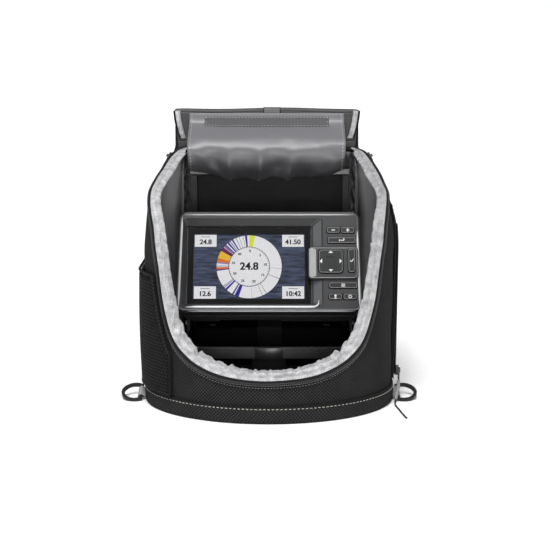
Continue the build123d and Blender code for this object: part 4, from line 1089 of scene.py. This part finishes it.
def face_ring(name, section, material, shape, slot="bezel_plastic"):
    """A ring round the face: its section is (inwards, n) pairs."""
    top, bottom, low, high, radius = shape
    loops = []
    for inwards, n in section:
        corner = max(0.4, radius - inwards)
        line = rounded_outline(top - inwards, bottom - inwards, low + inwards, high - inwards, corner)
        loops.append([on_face(u, v, n) for u, v in line])
    return loft(name, np.array(loops).transpose(1, 0, 2), [material], "display", closed=True, slot=slot)


def rounded_box(u, v, width, height, radius, steps=6):
    """A rectangle with round corners about its centre."""
    outline = rounded_outline(width / 2, width / 2, -height / 2, height / 2, radius, steps)
    return [(u + a, v + b) for a, b in outline]


def rim_of(name, shape, n, width, material, body, slot):
    """A thin raised line round a key or the pod: shape is (u, v, width, height, radius)."""
    u, v, across, tall, radius = shape
    loops = []
    for inwards, level in ((0.0, n - 0.15), (0.0, n + 0.12), (width, n + 0.16), (width, n - 0.15)):
        outline = rounded_box(u, v, across - 2 * inwards, tall - 2 * inwards, max(0.3, radius - inwards))
        loops.append([on_face(a, b, level) for a, b in outline])
    return loft(name, np.array(loops).transpose(1, 0, 2), [material], body, closed=True, slot=slot)


def make_bezel_highlights():
    """Pale lines round the face and the screen's well, and the well's sloping right side: painted highlights
    where the bezel's edges and slopes catch the light, as are the pale pod bevel and the rims of the pod and
    keys.
    """
    face_ring("bezel_edge_highlight", [(1.6, -0.12), (1.6, 0.25), (2.2, 0.42), (2.9, 0.3), (3.1, -0.12)], BEVEL_HIGHLIGHT,
              (88.0, 90.0, -50.5, 50.5, 9.0))
    lines = {
        "left": ([(-84.6 - 0.02 * (45 - v), v) for v in np.linspace(44, -46, 30)], 1.1),
        "right": ([(85.0 + 0.016 * (45 - v), v) for v in np.linspace(30, -46, 30)], 1.0),
        "top": ([(u, 46.6) for u in np.linspace(-82, 82, 40)], 0.5),
        "lip": ([(u, -49.6) for u in np.linspace(-78, 82, 40)], 0.35),
        "foot": ([*((u, -45.6) for u in np.linspace(-80, 42, 40)),
                  (45.0, -44.9), (47.0, -42.6), (47.4, -39.0)], 1.3),
    }
    for word, (line, radius) in lines.items():
        places = np.array([on_face(u, v, 0.1) for u, v in line])
        ends = np.minimum(1, np.minimum(np.arange(len(places)), np.arange(len(places))[::-1]) / 4 + 0.25)
        piping(f"bezel_highlight_line_{word}", places, radius * ends, PALE_HIGHLIGHT, "display", slot="bezel_plastic")
    # The well's sloping sides, lighter than the bezel as painted highlight.
    sides = {"lower": [(42.0, -40.0), (50.5, -43.6), (50.5, -19.2), (42.0, -19.0)],
             "upper": [(42.0, 13.8), (50.5, 14.0), (50.5, 41.6), (42.0, 36.4)]}
    for word, outline in sides.items():
        face = [on_face(u, v, n) for (u, v), n in zip(outline, [-4.6, -0.05, -0.05, -4.6])]
        back = [place - 0.25 * AXIS_N for place in face]
        faces = [(0, 1, 2, 3), (7, 6, 5, 4), *band_faces(4)]
        add_mesh(f"well_side_{word}", face + back, faces, [BEVEL_HIGHLIGHT], "display", slot="bezel_plastic",
                 smooth=False)
    # The pod's left bevel is a flat plate, pale as painted highlight where the chamfer catches the light.
    bevel = [(38.4, -15.5), (40.0, -17.4), (45.0, -15.4), (45.0, 10.6), (40.0, 12.6), (38.4, 10.6)]
    plates("pod_bevel", [bevel], 2.52, 0.1, RIM_HIGHLIGHT, slot="bezel_plastic")
    rim_of("pod_edge_line", (61.5, -2.45, 46.0, 29.8, 3.2), 2.5, 0.5, RIM_HIGHLIGHT, "display", "bezel_plastic")
    for key, (u, v, width, height) in KEY_SHAPES.items():
        level = POD_KEY_TOP if key in ("key_arrow_pad", "key_select") else KEY_TOP
        corner = min(0.32 * min(width, height), KEY_CORNER_MAX) - 0.6
        shape = (u, v, width - 1.2, height - 1.2, corner)
        rim_of(key + "_rim", shape, level, 0.35, RIM_HIGHLIGHT, key, "key_rubber")


def make_key_marks():
    """Plain pictograms on the keys: signs, arrows, a tick, a menu grid, a pin and a diamond."""

    def arrow(u, v, du, dv, size=2.2):
        ends = ((du, dv), (-dv, du), (dv, -du))
        return [(u + a * size, v + b * size) for a, b in ends]

    pad_u, pad_v = 59.1, -1.2
    marks = {
        "key_zoom_out": (KEY_TOP, [bar((60.4, 30.8), (63.6, 30.8), 0.9)]),
        "key_zoom_in": (KEY_TOP, [bar((74.4, 30.8), (77.6, 30.8), 0.9), bar((76.0, 31.25), (76.0, 32.5), 0.9),
                                  bar((76.0, 29.1), (76.0, 30.35), 0.9)]),
        "key_back": (KEY_TOP, [arrow(68.4, 20.4, -1, 0, 1.3), bar((69.0, 20.4), (71.4, 20.4), 0.8),
                               sector((71.4, 21.2), 0.5, 1.3, 0, 178)]),
        "key_arrow_pad": (POD_KEY_TOP, [arrow(pad_u, pad_v + 8.2, 0, 1), arrow(pad_u, pad_v - 8.2, 0, -1),
                                        arrow(pad_u - 8.4, pad_v, -1, 0), arrow(pad_u + 8.4, pad_v, 1, 0)]),
        "key_select": (POD_KEY_TOP, [bar((77.6, -0.4), (78.8, -1.8), 0.8),
                                     bar((78.9, -1.9), (81.2, 1.2), 0.8)]),
        "key_menu": (KEY_TOP, [bar((69.0, v), (72.6, v), 0.6) for v in (-25.5, -24.4, -23.3)]),
        "key_mark": (KEY_TOP, [sector((63.2, -34.7), 0.0, 1.1, 0, 359),
                               bar((63.2, -36.0), (63.2, -37.4), 0.9),
                               bar((61.9, -37.2), (64.5, -37.2), 0.6)]),
        "key_home": (KEY_TOP, [bar((75.5, -35.5), (77.1, -33.9), 0.7),
                               bar((77.3, -33.9), (78.9, -35.5), 0.7),
                               bar((78.9, -35.6), (77.3, -37.2), 0.7),
                               bar((77.1, -37.2), (75.5, -35.6), 0.7)]),
    }
    for key, (level, outlines) in marks.items():
        plates(key + "_symbol", outlines, level + 0.02, 0.12, MARK, body=key)


# ------------------------------------------------------------------ pull cord and finishes
SLEEVE_ROUTE = [
    (124.2, -25.6, 15.2), (123.7, -30.4, 12.4), (122.3, -36.4, 9.4), (120.6, -41.4, 6.0), (119.5, -45.6, 3.0),
]
CORD_ROUTE = [
    (119.5, -45.6, 3.0), (118.8, -49.0, 1.4), (118.3, -53.6, 0.9), (118.9, -60.6, 0.9), (120.9, -70.4, 0.9),
    (122.4, -81.6, 0.9), (124.6, -92.2, 0.9),
]


def make_pull_cord():
    """The side zip's braided sleeve and the bare cord that hangs from it."""
    sleeve = nurbs_tube("side_pull_sleeve", SLEEVE_ROUTE, 1.6, SLEEVE)
    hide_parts("pull_sleeve")
    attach(sleeve, "side_zip")
    tail = nurbs_tube("side_pull_cord", CORD_ROUTE, 0.8, CORD)
    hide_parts("pull_cord")
    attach(tail, "side_zip")


def finish_cad_nodes():
    """Gives each CAD piece that stays in view its material, with softened edges on the hard ones."""
    looks = {
        "side_zip_slider": METAL, "side_zip_bail": METAL, "main_zip_sliders": METAL,
        "carrier_base": CARRIER, "front_rail": CARRIER, "mount_shelf": CARRIER, "tower_beams": CARRIER,
        # The carrier sides get the lighter lattice plastic, whose extra lightness is painted light on their
        # edges.
        "carrier_side_left": LIT_LATTICE, "carrier_side_right": LIT_LATTICE, "carrier_screws": STEEL,
        "base_board": DARK_CLOTH, "battery_case": BATTERY, "battery_lid": BATTERY, "battery_terminals": METAL,
        "mount_base": CARRIER, "mount_yoke": CARRIER, "swivel_bolt": STEEL,
        "tilt_cradle": HOUSING, "tilt_pin": STEEL, "tilt_knob": KEY, "front_bezel": BEZEL,
        "lens_glass": GLASS, "lcd_panel": MASK, "keypad_membrane": KEY, "main_board": BOARD_GREEN,
        "housing_gasket": FOAM, "rear_housing": HOUSING, "housing_screws": STEEL, "rear_sockets": HOUSING,
        "arrow_pad_gimbal": KEY, "strap_ring_left": RING, "strap_ring_right": RING,
    }
    looks.update({name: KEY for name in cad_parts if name.startswith("key_")})
    soft_edged = (CARRIER, LIT_LATTICE, HOUSING, BEZEL, KEY, BATTERY, RING, METAL)
    for name, material in looks.items():
        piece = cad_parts[name]
        for place in piece.material_slots:
            place.material = material
        if material in soft_edged:
            weld = piece.modifiers.new("weld", "WELD")
            weld.merge_threshold = 0.002 * MM
            bevel = piece.modifiers.new("edges", "BEVEL")
            bevel.width, bevel.segments = 0.25 * MM, 2
            bevel.limit_method, bevel.angle_limit = "ANGLE", math.radians(35)
            bevel.harden_normals = True


def make_sky():
    """A white studio horizon under a dimmer ceiling."""
    world = bpy.data.worlds.new("studio")
    bpy.context.scene.world = world
    world.use_nodes = True
    tree = world.node_tree
    way = node(tree, "ShaderNodeTexCoord").outputs["Generated"]
    height = node(tree, "ShaderNodeSeparateXYZ", {0: way}).outputs[2]
    level = node(tree, "ShaderNodeMapRange", {0: height, 1: 0.10, 2: 0.24, 3: 1.0, 4: 0.34})
    tree.links.new(level.outputs[0], tree.nodes["Background"].inputs["Color"])


def make_stage():
    """The paper floor, the sky and the lamps."""
    floor = bpy.data.meshes.new("floor")
    reach = 30.0
    corners = [(-reach, -reach, 0), (reach, -reach, 0), (reach, reach, 0), (-reach, reach, 0)]
    floor.from_pydata(corners, [], [(0, 1, 2, 3)])
    floor.materials.append(plastic("floor_paper", (0.93, 0.93, 0.93), 0.9, spread=0.01, depth=0.02))
    new_object("floor", floor)
    make_sky()
    lights = [
        ("sun", "SUN", (-0.12, -0.42, 1.12), math.radians(30), 3.2),
        ("front_fill", "AREA", (0.1, -1.5, 0.06), 0.8, 13.0),
    ]
    for name, kind, place, spread, power in lights:
        data = bpy.data.lights.new(name, kind)
        data.energy = power
        if kind == "SUN":
            data.angle = spread
        else:
            data.size = spread
        lamp = new_object(name, data)
        lamp.location = place
        lamp.rotation_euler = (Vector((0, 0, 0.12)) - Vector(place)).to_track_quat("-Z", "Y").to_euler()
    bpy.context.scene.view_settings.view_transform = "Standard"


make_camera()
make_pull_cord()
make_shell()
make_boot()
make_mouth()
make_mesh_pocket()
make_side_pocket()
make_back_pad()
make_webbing()
make_lid()
lid_trim()
make_flap()
make_screen()
make_bezel_highlights()
make_key_marks()
finish_cad_nodes()
make_stage()
